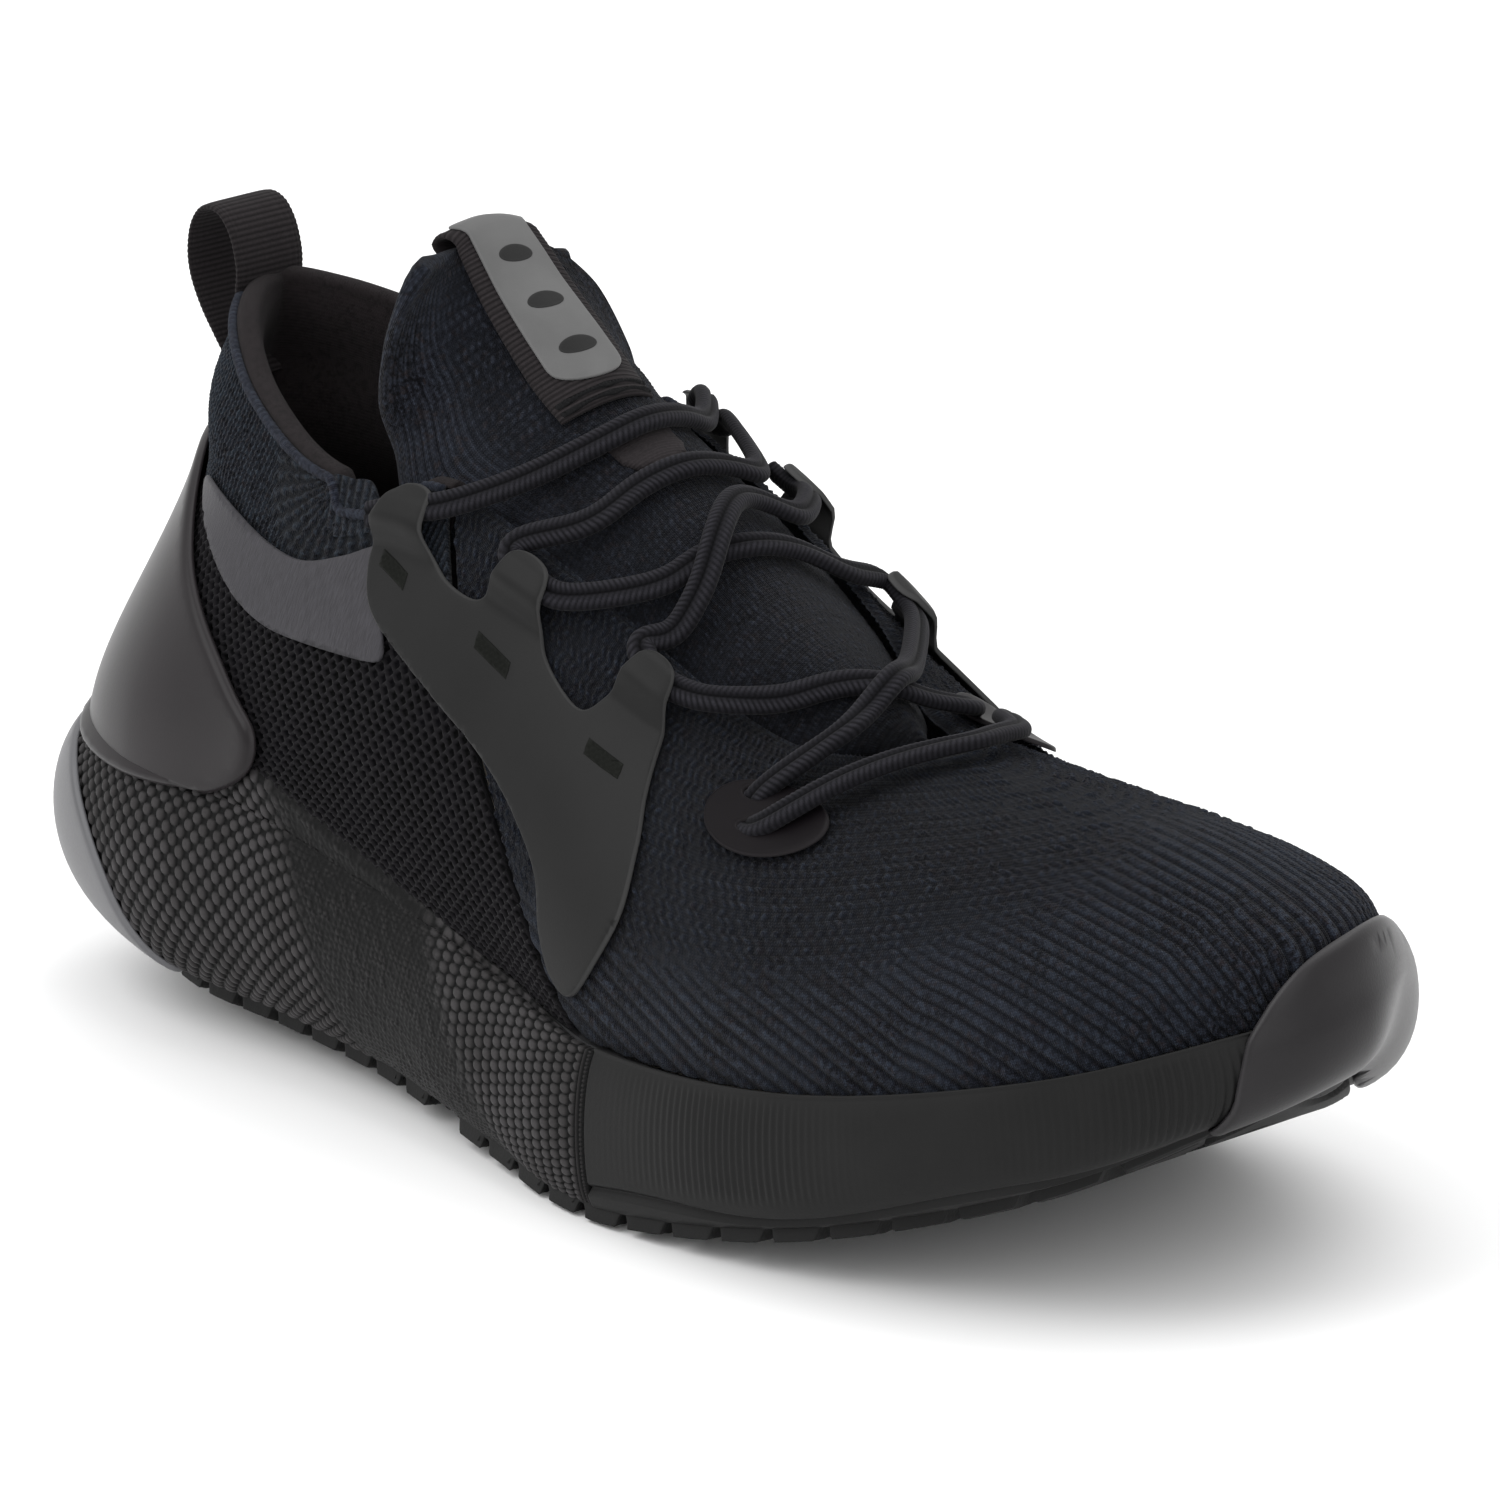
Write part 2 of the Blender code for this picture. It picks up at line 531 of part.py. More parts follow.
def overlays():
    def inner(u, v):
        return OVER + finger_rise(u, v)

    def outer(u, v):
        return OVER + 0.9 + finger_rise(u, v)
    patch("eyestay_lateral", MATS["film"], EYESTAY, upper_at, inner, outer, 0.4, 0.08)
    patch("eyestay_medial", MATS["film"], mirrored(EYESTAY), upper_at, inner, outer, 0.4, 0.08)
    patch("collar_band_lateral", MATS["band"], BAND, upper_at, OVER, OVER + 0.6, 0.35, 0.1)
    patch("collar_band_medial", MATS["band"], mirrored(BAND), upper_at, OVER, OVER + 0.6, 0.35, 0.1)
    eye = ellipse(7.08, 0.765, 0.42, 0.105, 16)
    hole = ellipse(7.03, 0.745, 0.10, 0.028, 8)
    patch("eyelet_patch_lateral", MATS["tpu"], eye, upper_at, OVER, OVER + 0.8, 0.28, 0.08, hole)
    patch("eyelet_patch_medial", MATS["tpu"], mirrored(eye), upper_at, OVER, OVER + 0.8,
          0.28, 0.08, mirrored(hole))
    counter = [(-2.5, -0.16), (-1.5, -0.10), (-0.6, -0.03), (0.6, -0.03), (1.5, -0.10),
               (2.5, -0.16), (2.95, 0.05), (3.05, 0.25), (2.85, 0.38), (2.4, 0.50),
               (1.95, 0.58), (1.4, 0.66), (0.6, 0.70), (-0.6, 0.70), (-1.4, 0.66),
               (-1.95, 0.58), (-2.4, 0.50), (-2.85, 0.38), (-3.05, 0.25), (-2.95, 0.05)]
    patch("heel_counter", MATS["counter"], counter, over_at, 1.0, 2.8, 0.42, 0.12)


def tongue_parts():
    def put(name, mat, ks, inner, outer, ss, warp=None):
        return panel(name, mat, tongue_face, ss, ks, inner, outer, warp)
    ss = [i / 12 for i in range(13)]
    put("tongue_top", MATS["tongue"], [0.0, 0.5, 1.0, 2.0, 3.0, 4.0, SPLIT - 0.02], -3.0, 0.0, ss)
    put("tongue_lower", MATS["tongue"], [SPLIT + 0.03, 5.6, 6.2, 7, 8, 9, 9.7], -1.6, 0.0, ss)


def ribbon(name, mat, rows, half):
    """Webbing of even thickness along rows of centre points."""
    g = np.array(rows, float)
    a = np.gradient(g, axis=0)
    b = np.gradient(g, axis=1)
    n = np.cross(b, a)
    n /= np.linalg.norm(n, axis=2)[:, :, None] + 1e-12
    bm = bmesh.new()
    skin_of(bm, (g + n * half).tolist(), (g - n * half).tolist(), False)
    return finish(name, bm, mat)


def tongue_trim():
    def on(k, s, off):
        return lifted(tongue_face, np.array([s]), np.array([k]),
                      np.array([off]))[0]
    cols = [0.5 + 0.175 * (i / 3 - 1) for i in range(7)]
    rows = [[on(k, s, 0.95) for s in cols] for k in (4.85, 4.2, 3.2, 2.2, 1.2, 0.4)]
    for up, off in ((1.2, 0.8), (2.3, -0.3), (2.6, -1.7), (2.0, -3.3), (0.8, -4.3)):
        rows.append([on(0.02, s, off) + np.array([-0.75, 0, 0.66]) * up for s in cols])
    rows += [[on(k, s, -4.4) for s in cols] for k in (0.35, 1.0, 1.8)]
    ribbon("tongue_tab_webbing", MATS["webbing"], rows, 0.45)
    end = [(0.5 + 0.105 * math.cos(a), 3.75 + 0.62 * math.sin(a))
           for a in (math.pi * i / 8 for i in range(9))]
    strip = [(0.605, 0.45)] + end + [(0.395, 0.45)]
    patch("tongue_tab_strip", MATS["strip"], strip, tongue_face,
          1.75, 2.4, 0.06, 0.8)
    label = [(0.38, 5.64), (0.6, 5.64), (0.6, 5.8), (0.38, 5.8)]
    patch("tongue_label", MATS["webbing"], label, tongue_face, 0.35, 0.85,
          0.06, 0.2)


def pull_loop():
    """Webbing loop: legs sewn to the collar, and the free arc that flexes between them."""
    def row(x, z, bow):
        return [(x + SHIFT_X + bow * 0.026 * y * y, y + SHIFT_Y, z)
                for y in (-7.4, -3.7, 0.0, 3.7, 7.4)]
    outer = [row(x, z, 1.0) for x, z in ((25.0, 100.5), (26.4, 105), (26.7, 108.6),
                                         (24.4, 113), (22.3, 117), (21.6, 119.4))]
    inner = [row(x, z, 1.5) for x, z in ((39.2, 119.4), (41.6, 116.5), (44.6, 112.5))]
    arc = [row(x, z, b) for x, z, b in (
        (21.3, 120.8, 0.9), (21.2, 124, 0.6), (22.3, 128.3, 0.2), (24.7, 131.6, 0),
        (27.6, 132.8, 0), (30.9, 132.1, 0), (33.5, 129.9, 0.1), (35.5, 126.4, 0.4),
        (38.1, 120.8, 1.2))]
    ribbon("loop_leg_outer", MATS["webbing"], outer, 0.55)
    ribbon("loop_leg_inner", MATS["webbing"], inner, 0.55)
    ribbon("heel_pull_loop", MATS["webbing"], arc, 0.55)


def lace():
    """One lace threaded through finger tunnels and eyelet patches, ends tucked in."""
    def tg(k, s, off):
        return lifted(tongue_face, np.array([s]), np.array([k]),
                      np.array([off]))[0]

    def up(t, w, off):
        return lifted(upper_at, np.array([float(t)]), np.array([w]), np.array([off]))[0]
    pts = [up(3.58, 0.905, 2.4), up(3.86, 0.935, 2.7), up(4.12, 0.96, 3.6),
           tg(5.40, 0.12, 4.8), tg(5.50, 0.33, 2.6), tg(5.50, 0.5, 2.6), tg(5.44, 0.7, 2.6),
           tg(5.38, 0.86, 4.6), up(15.93, 1.0, 4.4), up(16.06, 0.95, 2.7),
           up(15.86, 0.935, 2.1), up(15.74, 0.965, 3.4),
           tg(5.92, 0.88, 5.0), tg(6.02, 0.7, 2.6), tg(6.04, 0.5, 2.6), tg(5.98, 0.3, 2.6),
           tg(5.92, 0.12, 4.8), up(4.62, 0.96, 3.6), up(4.83, 0.935, 2.9), up(5.08, 0.94, 3.0),
           tg(6.50, 0.12, 4.6), tg(6.60, 0.3, 2.6), tg(6.72, 0.5, 2.6), tg(6.74, 0.72, 2.6),
           tg(6.80, 0.90, 4.8), up(14.36, 0.94, 3.0), up(14.17, 0.935, 2.9),
           up(13.94, 0.95, 3.0),
           tg(7.70, 0.80, 3.6), tg(8.25, 0.63, 5.0), tg(8.68, 0.45, 5.8), tg(8.70, 0.20, 6.2),
           up(7.75, 0.965, 5.8),
           up(7.45, 0.93, 4.2), up(7.22, 0.86, 4.2), up(6.98, 0.82, 4.0), up(6.95, 0.76, 4.0),
           up(7.2, 0.765, 4.0), up(7.6, 0.84, 3.6), up(8.1, 0.90, 3.2),
           up(9.0, 0.935, 3.0), up(10.0, 0.94, 3.0), up(11.0, 0.935, 3.0), up(11.9, 0.90, 3.2),
           up(12.5, 0.83, 3.6), up(12.85, 0.765, 4.0), up(13.1, 0.77, 4.0),
           up(13.1, 0.84, 4.0), up(12.6, 0.93, 3.6),
           tg(8.75, 0.75, 2.6), tg(8.55, 0.5, 2.4), tg(8.1, 0.28, 2.4), tg(7.75, 0.10, 4.6),
           up(6.28, 0.965, 3.6), up(6.08, 0.945, 3.1), up(5.82, 0.935, 2.9), up(5.58, 0.965, 3.6),
           tg(6.72, 0.03, 4.8), tg(6.76, 0.12, 5.0), tg(6.76, 0.22, 5.8), tg(6.62, 0.37, 6.6),
           tg(6.44, 0.53, 4.6),
           tg(6.36, 0.7, 3.2), tg(6.34, 0.88, 4.8), up(15.02, 0.965, 3.6), up(15.17, 0.935, 2.9),
           up(15.42, 0.93, 2.9)]
    tube("lace", MATS["lace"], pts, 1.55)


def hang_on(names, point):
    """Put the origin of each named object on its joint's axis."""
    p = [c * MM for c in point]
    for name in names:
        ob = bpy.data.objects[name]
        for v in ob.data.vertices:
            v.co = [a - b for a, b in zip(v.co, p)]
        ob.location = p


def joint_origins():
    crown = tongue_at(np.array([SPLIT]), np.array([0.5]))[0]
    hang_on(("tongue_top", "tongue_tab_webbing", "tongue_tab_strip"), crown)
    hang_on(("heel_pull_loop",), (LOOP_AXIS[0] + SHIFT_X, SHIFT_Y, LOOP_AXIS[1]))
    hang_on(("sockliner_foam", "sockliner_cover"),
            (SOCK_AXIS[0] + SHIFT_X, SHIFT_Y, SOCK_AXIS[1]))


MATS = {}
COLL = None


def build():
    global COLL
    clear_scene()
    COLL = bpy.data.collections.new("running_shoe")
    bpy.context.scene.collection.children.link(COLL)
    spec = {
        "foam": (0.035, 0.035, 0.04, 0.8), "wrap": (0.022, 0.022, 0.025, 0.75),
        "sidewall": (0.02, 0.02, 0.022, 0.55), "clip": (0.06, 0.06, 0.065, 0.45),
        "bumper": (0.05, 0.045, 0.045, 0.25), "outsole": (0.018, 0.018, 0.019, 0.6),
        "vamp": (0.018, 0.02, 0.03, 0.95), "mesh": (0.01, 0.01, 0.011, 0.9),
        "collar": (0.03, 0.035, 0.05, 0.95), "lining": (0.03, 0.026, 0.026, 0.85),
        "foam_soft": (0.05, 0.05, 0.05, 0.9), "board": (0.2, 0.19, 0.17, 0.8),
        "film": (0.035, 0.035, 0.036, 0.45), "band": (0.09, 0.09, 0.1, 0.5),
        "tpu": (0.05, 0.045, 0.048, 0.3), "counter": (0.04, 0.033, 0.032, 0.2),
        "tongue": (0.022, 0.026, 0.04, 0.95), "cover": (0.04, 0.04, 0.045, 0.9),
        "webbing": (0.02, 0.02, 0.021, 0.85), "strip": (0.3, 0.3, 0.31, 0.4),
        "lace": (0.015, 0.015, 0.016, 0.9),
    }
    for k, (r, g, b, rough) in spec.items():
        MATS[k] = material(k, (r, g, b), rough)
    midsole_core()
    footbed_sheet("strobel_board", MATS["board"], 0.03, 0.4, 1.3, 1, 23)
    footbed_sheet("sockliner_foam", MATS["foam_soft"], 0.085, 1.8, 4.8, 2, 22)
    footbed_sheet("sockliner_cover", MATS["cover"], 0.085, 5.1, 5.9, 2, 22)
    sole_skins()
    outsole("outsole_heel", 19, 118, 14.0, 3.0, 3.0)
    outsole("outsole_forefoot", 128, 278, 13.5, 3.0, 4.0)
    upper_panels()
    overlays()
    tongue_parts()
    tongue_trim()
    pull_loop()
    lace()
    joint_origins()


build()
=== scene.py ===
"""Looks of a right running shoe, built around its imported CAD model.

The lasted shape is the same set of millimetre station tables that the CAD model uses:
station 0 is the back of the heel, 10 the tip of the toe; 1-9 run along the outer
(lateral, -Y) side and 11-19 along the inner (medial, +Y) side. Lengths are in millimetres
until mesh_object() turns them into metres.
"""
import math

import bpy
import numpy as np
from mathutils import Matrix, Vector
from mathutils.geometry import delaunay_2d_cdt


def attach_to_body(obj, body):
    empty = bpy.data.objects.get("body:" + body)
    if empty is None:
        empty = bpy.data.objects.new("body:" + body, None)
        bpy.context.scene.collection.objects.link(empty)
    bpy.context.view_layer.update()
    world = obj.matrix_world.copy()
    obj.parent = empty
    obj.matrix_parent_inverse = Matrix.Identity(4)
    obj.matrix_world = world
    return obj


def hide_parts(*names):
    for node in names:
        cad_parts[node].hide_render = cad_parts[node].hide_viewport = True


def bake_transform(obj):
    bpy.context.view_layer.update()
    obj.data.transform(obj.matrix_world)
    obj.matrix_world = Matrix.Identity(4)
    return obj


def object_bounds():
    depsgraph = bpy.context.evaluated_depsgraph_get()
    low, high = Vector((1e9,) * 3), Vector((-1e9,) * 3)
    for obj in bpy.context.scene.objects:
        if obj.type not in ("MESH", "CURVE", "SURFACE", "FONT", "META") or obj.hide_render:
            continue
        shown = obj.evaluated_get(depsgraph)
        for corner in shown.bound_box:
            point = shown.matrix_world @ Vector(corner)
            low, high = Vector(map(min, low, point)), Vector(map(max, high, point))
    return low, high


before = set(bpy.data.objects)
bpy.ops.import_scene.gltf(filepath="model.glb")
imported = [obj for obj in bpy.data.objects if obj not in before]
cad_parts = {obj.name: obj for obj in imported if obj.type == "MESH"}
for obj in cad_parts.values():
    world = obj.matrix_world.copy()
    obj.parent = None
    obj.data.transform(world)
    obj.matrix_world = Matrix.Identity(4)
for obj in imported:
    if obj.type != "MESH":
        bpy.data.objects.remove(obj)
CAD_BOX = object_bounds()

MM = 0.001
SHIFT_X, SHIFT_Y = -146.8, 1.2     # middle of the shoe's length and width, millimetres
N = 20
# feather edge, lower control, upper control, opening edge (x, y, z each)
UPPER = (
    (8, 0, 47, 5, 0, 61, 27, 0, 88, 31, 2, 120),
    (18, -25, 47, 14, -25, 60, 38, -10, 87, 40, -12, 117),
    (42, -38, 46, 38, -41, 60, 51, -23, 84, 58, -22, 108),
    (75, -39, 44, 72, -44, 57, 73, -33, 82, 82, -27, 101),
    (105, -39, 38, 104, -45, 55, 107, -40, 80, 109, -23, 103),
    (140, -42, 32, 138, -47, 48, 138, -40, 75, 138, -21, 94),
    (175, -49, 28.5, 170, -51, 44, 165, -41, 66, 165, -18, 81),
    (220, -49, 31.5, 212, -50, 46, 190, -38, 62, 182, -14, 74),
    (262, -36, 40, 256, -38, 57, 226, -22, 68, 194, -8, 73),
    (286, -14, 48, 284, -15, 67, 251, -9, 72, 199, -3, 73),
    (290.5, 4, 50.5, 290, 3, 72, 259, 1, 72, 200, 0, 73),
    (281.5, 21.5, 49.5, 277.5, 21, 71, 249, 12, 69.2, 199, 4, 73),
    (260.5, 39.5, 41.5, 254.5, 39.5, 60.5, 226, 25, 64.3, 194, 9, 73),
    (225, 49, 33, 215, 51, 47, 191, 37, 61.4, 182, 14, 74),
    (178, 46, 29.5, 172, 49, 45, 167, 40, 67, 166, 20, 83),
    (140, 38, 33, 138, 43, 50, 139, 41, 76, 139, 23, 96.5),
    (105, 36, 38, 104, 41, 56, 108, 40, 84, 110, 25, 106.5),
    (75, 38, 43, 73, 40, 58, 76, 32, 86, 85, 28, 108),
    (42, 37, 46, 40, 38, 61, 51, 22, 88, 60, 21, 113),
    (18, 24, 47, 15, 23, 61, 38, 11, 90, 41, 12, 118),
)
# widest line of the sole sidewall
SOLE_MID = (
    (0, 0, 26), (9, -30, 26), (40, -43, 23), (75, -43, 20), (105, -44, 17),
    (140, -49, 14), (175, -54, 13), (222, -53, 17), (265, -38, 27.5), (288.5, -14, 36.5),
    (292.3, 5, 40), (281, 21, 38), (262.5, 41.5, 29.5), (226, 52, 18), (178, 48, 15),
    (140, 42, 17), (105, 39, 19.5), (75, 39, 21), (42, 39.5, 23.5), (11, 29, 26),
)
# tread edge of the outsole
SOLE_LOW = (
    (13, 0, 8), (21, -22, 7.6), (45, -31.5, 5.2), (75, -33.5, 4.2), (105, -37, 3.0),
    (140, -45.5, 1.2), (175, -52.5, 0), (220, -48.5, 6.5), (258, -33, 18), (277, -13, 28.5),
    (282, 4, 33), (274, 18, 30), (255, 35, 17), (222, 45, 6), (178, 43.5, 0),
    (140, 37, 0.2), (105, 33, 0.8), (75, 31.5, 1.5), (45, 31, 2.5), (22, 21, 5),
)
# tongue rows from the free top edge to the vamp: outer edge, crown, inner edge
TONGUE = (
    (95, -13, 134.5, 93, 1, 138.5, 96, 14, 132.5),
    (93.5, -20, 127, 97, 1, 135, 98, 20, 125),
    (91.5, -23, 115, 102.5, 1, 130, 100, 24, 114),
    (92, -21.5, 105, 108.5, 1, 125.5, 101, 25, 107),
    (97, -18.5, 100, 114.5, 1, 121, 104, 24, 103),
    (104, -18.5, 99, 122, 1, 115.5, 108, 22, 101.5),
    (138, -18, 91.5, 138, 1, 106, 138, 19, 93),
    (163, -15, 79.5, 163, 0, 92, 163, 16, 81),
    (181, -11, 71.8, 182, 0, 82.5, 181, 11, 71.8),
    (191, -6.5, 70.8, 193, 0, 77, 191, 7, 70.8),
    (196, -2.5, 70.6, 197.5, 0, 73.6, 196, 3, 70.6),
)
# where the fabric tongue runs on under the upper: outer and inner edges of rows 4 to 8
TUCKED = {4: (96, -23.5, 95, 104, 26.5, 101.5), 5: (104, -24, 93, 108, 26.5, 99.5),
          6: (138, -23.5, 88, 138, 25, 89.5), 7: (163, -20, 76.5, 163, 22, 78),
          8: (181, -15, 69.5, 181, 15.5, 69.5)}
FOAM_LIP = 1.6        # sidewall stands this far outside the feather edge
TREAD = 3.4           # height of the tread band under the sidewall
OVER = 0.8            # films and shells sit this far outside the knit
COLLAR_SWELL = 3.6    # padding pushes the knit out behind the ankle
TOE_SWELL = 3.2       # the toe box is full above the bumper
RIM_AT = 0.992        # height of the collar rim on the upper, as a share of its side
VAMP_TALL, COLLAR_TALL = 78.0, 75.0     # full height of the upper in the two flat maps
BEVEL_RINGS = (0.25, 0.6, 1.0)          # rows of points across a film's rounded edge


# ---------------------------------------------------------------- small helpers
def detail(full, quick):
    return full


def unit(v):
    return v / (np.linalg.norm(v, axis=1)[:, None] + 1e-12)


def run_length(p):
    """Length along a row of points, starting at 0."""
    return np.concatenate([[0], np.cumsum(np.linalg.norm(np.diff(p, axis=0), axis=1))])


def spline(p0, p1, p2, p3, f):
    """Smooth step from p1 to p2 on a curve that also passes p0 and p3."""
    m1, m2 = (p2 - p0) / 2, (p3 - p1) / 2
    a = (2 * f ** 3 - 3 * f ** 2 + 1) * p1 + (f ** 3 - 2 * f ** 2 + f) * m1
    return a + (-2 * f ** 3 + 3 * f ** 2) * p2 + (f ** 3 - f ** 2) * m2


def dome(x):
    """Quarter circle: rises from 0 to 1 as x goes from 0 to 1."""
    return np.sqrt(np.clip(1 - (1 - np.clip(x, 0, 1)) ** 2, 0, 1))


def circle(count):
    return np.linspace(0, 2 * math.pi, count, endpoint=False)


def power(x, p):
    """Power that keeps the sign of x, for sections between an oval and a box."""
    return np.sign(x) * np.abs(x) ** p


def signed(t):
    """Stations counted from the heel: negative on the inner side."""
    return np.where(t > N / 2, t - N, t)


def scatter(i, j):
    """Repeatable value from 0 to 1 for each cell of a grid."""
    x = np.sin(i * 12.9898 + j * 78.233) * 43758.5453
    return x - np.floor(x)


def oval(x, y, rx, ry, count):
    return [(x + rx * math.cos(a), y + ry * math.sin(a)) for a in circle(count)]


def grey(v):
    return (v, v, v)


def tone(rgb, k, add=0.0):
    """A lighter or darker version of a colour."""
    return tuple(min(1.0, c * k + add) for c in rgb)


def add_object(name, data):
    ob = bpy.data.objects.new(name, data)
    bpy.context.scene.collection.objects.link(ob)
    return ob


# ---------------------------------------------------------------- lasted surfaces
def table(rows, width):
    """Station table in millimetres, centred on the CAD model's origin."""
    a = np.array(rows, float).reshape(len(rows), width, 3)
    return a + np.array([SHIFT_X, SHIFT_Y, 0.0])


U_TAB = table(UPPER, 4)
M_TAB = table(SOLE_MID, 1)
L_TAB = table(SOLE_LOW, 1)
T_TAB = table(TONGUE, 3)
W_TAB = table([(*TUCKED[k][:3], *row[3:6], *TUCKED[k][3:]) if k in TUCKED else row
               for k, row in enumerate(TONGUE)], 3)


def around(tab, t):
    """Smooth closed interpolation through the stations."""
    t = np.asarray(t, float) % N
    i = np.floor(t).astype(int)
    return spline(*(tab[(i + k) % N] for k in (-1, 0, 1, 2)), (t - i)[:, None, None])


def bezier(p0, p1, p2, p3, w):
    w = w[:, None]
    return (1 - w) ** 3 * p0 + 3 * (1 - w) ** 2 * w * p1 + 3 * (1 - w) * w * w * p2 + w ** 3 * p3


def upper_at(t, w):
    """Outer face of the knit: t around the shoe, w from feather edge to opening."""
    d = side_distance(t)
    swell = (COLLAR_SWELL * np.exp(-((w - 0.85) / 0.1) ** 2 - (d / 2.2) ** 4)
             + TOE_SWELL * np.exp(-((w - 0.22) / 0.13) ** 2 - ((d - 10) / 1.4) ** 2))
    return bezier(*np.moveaxis(around(U_TAB, t), 1, 0), w) + plan_normal(t) * swell[:, None]


def plan_normal(t):
    """Outward horizontal direction of the feather edge."""
    d = around(U_TAB, t + 0.02)[:, 0] - around(U_TAB, t - 0.02)[:, 0]
    return unit(np.stack([d[:, 1], -d[:, 0], np.zeros(len(d))], 1))


def sole_at(t, p):
    """Sole sidewall: p from the tread edge (0) to the lip at the upper (1)."""
    low = around(L_TAB, t)[:, 0] + np.array([0, 0, TREAD])
    mid = around(M_TAB, t)[:, 0]
    top = around(U_TAB, t)[:, 0] + plan_normal(t) * FOAM_LIP + np.array([0, 0, 0.5])
    c = (8 * mid - low - top) / 6
    c1, c2 = c.copy(), c.copy()
    c1[:, 2] = low[:, 2] * 0.72 + mid[:, 2] * 0.28
    c2[:, 2] = mid[:, 2] * 0.35 + top[:, 2] * 0.65
    return bezier(low, c1, c2, top, p)


def tongue_at(k, s, tab=T_TAB):
    """Tongue: k along the rows, s across from the outer (0) to the inner edge (1)."""
    last = len(TONGUE) - 1
    k = np.clip(np.asarray(k, float), 0, last - 1e-9)
    i = np.floor(k).astype(int)
    rows = (tab[np.clip(i + d, 0, last)] for d in (-1, 0, 1, 2))
    lo, mid, hi = np.moveaxis(spline(*rows, (k - i)[:, None, None]), 1, 0)
    c = 2 * mid - (lo + hi) / 2
    s = s[:, None]
    return (1 - s) ** 2 * lo + 2 * s * (1 - s) * c + s * s * hi


def tongue_face(s, k):
    return tongue_at(k, s)


def tucked_face(s, k):
    """The tongue with its sides run on under the upper."""
    return tongue_at(k, s, W_TAB)


def normal_of(fn, u, v):
    """Outward unit normal of a surface."""
    du, dv = (-0.02, 0.01) if fn in (tongue_face, tucked_face) else (0.02, 0.01)
    return unit(np.cross(fn(u + du, v) - fn(u - du, v), fn(u, v + dv) - fn(u, v - dv)))


def lifted(fn, u, v, off):
    """Point on a surface moved along its outward normal by off millimetres."""
    return fn(u, v) + normal_of(fn, u, v) * np.reshape(off, (-1, 1))


def over_at(t, s):
    """One outer face from the sole sidewall (s < 0) on to the upper (s > 0)."""
    low = sole_at(t, np.clip(1 + s, 0, 1))
    up = upper_at(t, np.clip(s, 0, 1))
    ledge = plan_normal(t) * (FOAM_LIP * np.exp(-np.clip(s, 0, 1) / 0.10))[:, None]
    return np.where((s < 0)[:, None], low, up + ledge)


def soft_ledge(t, s):
    """The outer face with the step between sole and upper eased out."""
    return sum(over_at(t, s + d) for d in (-0.075, -0.045, -0.015, 0.015, 0.045, 0.075)) / 6


def split_line(w):
    """Station of the hidden seam between quarter mesh and vamp knit."""
    return 5.75 - 1.75 * np.clip(w, 0.0, 1.0) ** 1.1


def side_distance(t):
    """Stations away from the back of the heel, on either side."""
    t = np.asarray(t, float) % N
    return np.minimum(t, N - t)


def smooth01(x):
    """Ease from 0 to 1 as x goes from 0 to 1."""
    x = np.clip(x, 0, 1)
    return x * x * (3 - 2 * x)


def arc_table(fn, t0, t1, v):
    """Length along a surface line of constant v, as (stations, millimetres)."""
    t = np.linspace(t0, t1, 600)
    return t, run_length(fn(t, np.full(len(t), v)))


# ---------------------------------------------------------------- relief patterns
def dots(a, b, pa, pb, ra, rb):
    """Round pillows on a diamond grid: rows pb apart, every other row shifted by half of pa."""
    best = 0.0
    for shift in (0.0, 0.5):
        fx = ((a / pa + shift) % 1 - 0.5) * pa / ra
        fy = ((b / (2 * pb) + shift) % 1 - 0.5) * 2 * pb / rb
        best = np.maximum(best, np.clip(1 - np.abs(fx) ** 2.3 - np.abs(fy) ** 2.3, 0, 1))
    return np.sqrt(best)


def net(a, b, pa, pb):
    """Diamond net: 1 on the strands, 0 in the openings."""
    row = np.floor(b / pb)
    fx = (a / pa + 0.5 * (row % 2)) % 1 - 0.5
    fy = (b / pb) % 1 - 0.5
    here = np.abs(fx) * 2 + np.abs(fy) * 1.35
    return smooth01((here - 0.6) / 0.3)


def ribs(x, sharp=1.0):
    """One rounded rib for each whole number of x, from 0 between them to 1 on top."""
    return (0.5 + 0.5 * np.cos(2 * math.pi * x)) ** sharp


# ---------------------------------------------------------------- mesh tools
def mesh_object(name, co, faces, mat, uv=None, values=None):
    """Object from points in millimetres and index lists; closed meshes face outward."""
    co = np.asarray(co, float) * MM
    polys = [np.asarray(f, int) for f in faces if len(f)]
    fans = np.concatenate([f[:, [0, i, i + 1]] for f in polys for i in range(1, f.shape[1] - 1)])
    a, b, c = (co[fans[:, i]] for i in range(3))
    if np.einsum("ij,ij->", a, np.cross(b, c)) < 0:
        polys = [f[:, ::-1] for f in polys]
    loops = np.concatenate([f.ravel() for f in polys])
    sizes = np.concatenate([np.full(len(f), f.shape[1]) for f in polys])
    me = bpy.data.meshes.new(name)
    me.vertices.add(len(co))
    me.vertices.foreach_set("co", co.ravel())
    me.loops.add(len(loops))
    me.loops.foreach_set("vertex_index", loops)
    me.polygons.add(len(sizes))
    me.polygons.foreach_set("loop_start", np.concatenate([[0], np.cumsum(sizes)[:-1]]))
    me.update(calc_edges=True)
    me.validate()
    me.polygons.foreach_set("use_smooth", np.full(len(me.polygons), True))
    if uv is not None:
        layer = me.uv_layers.new(name="flat")
        layer.data.foreach_set("uv", np.asarray(uv, float)[loops].ravel())
    for key, val in (values or {}).items():
        at = me.attributes.new(key, "FLOAT", "POINT")
        at.data.foreach_set("value", np.asarray(val, float))
    me.materials.append(mat)
    return add_object(name, me)


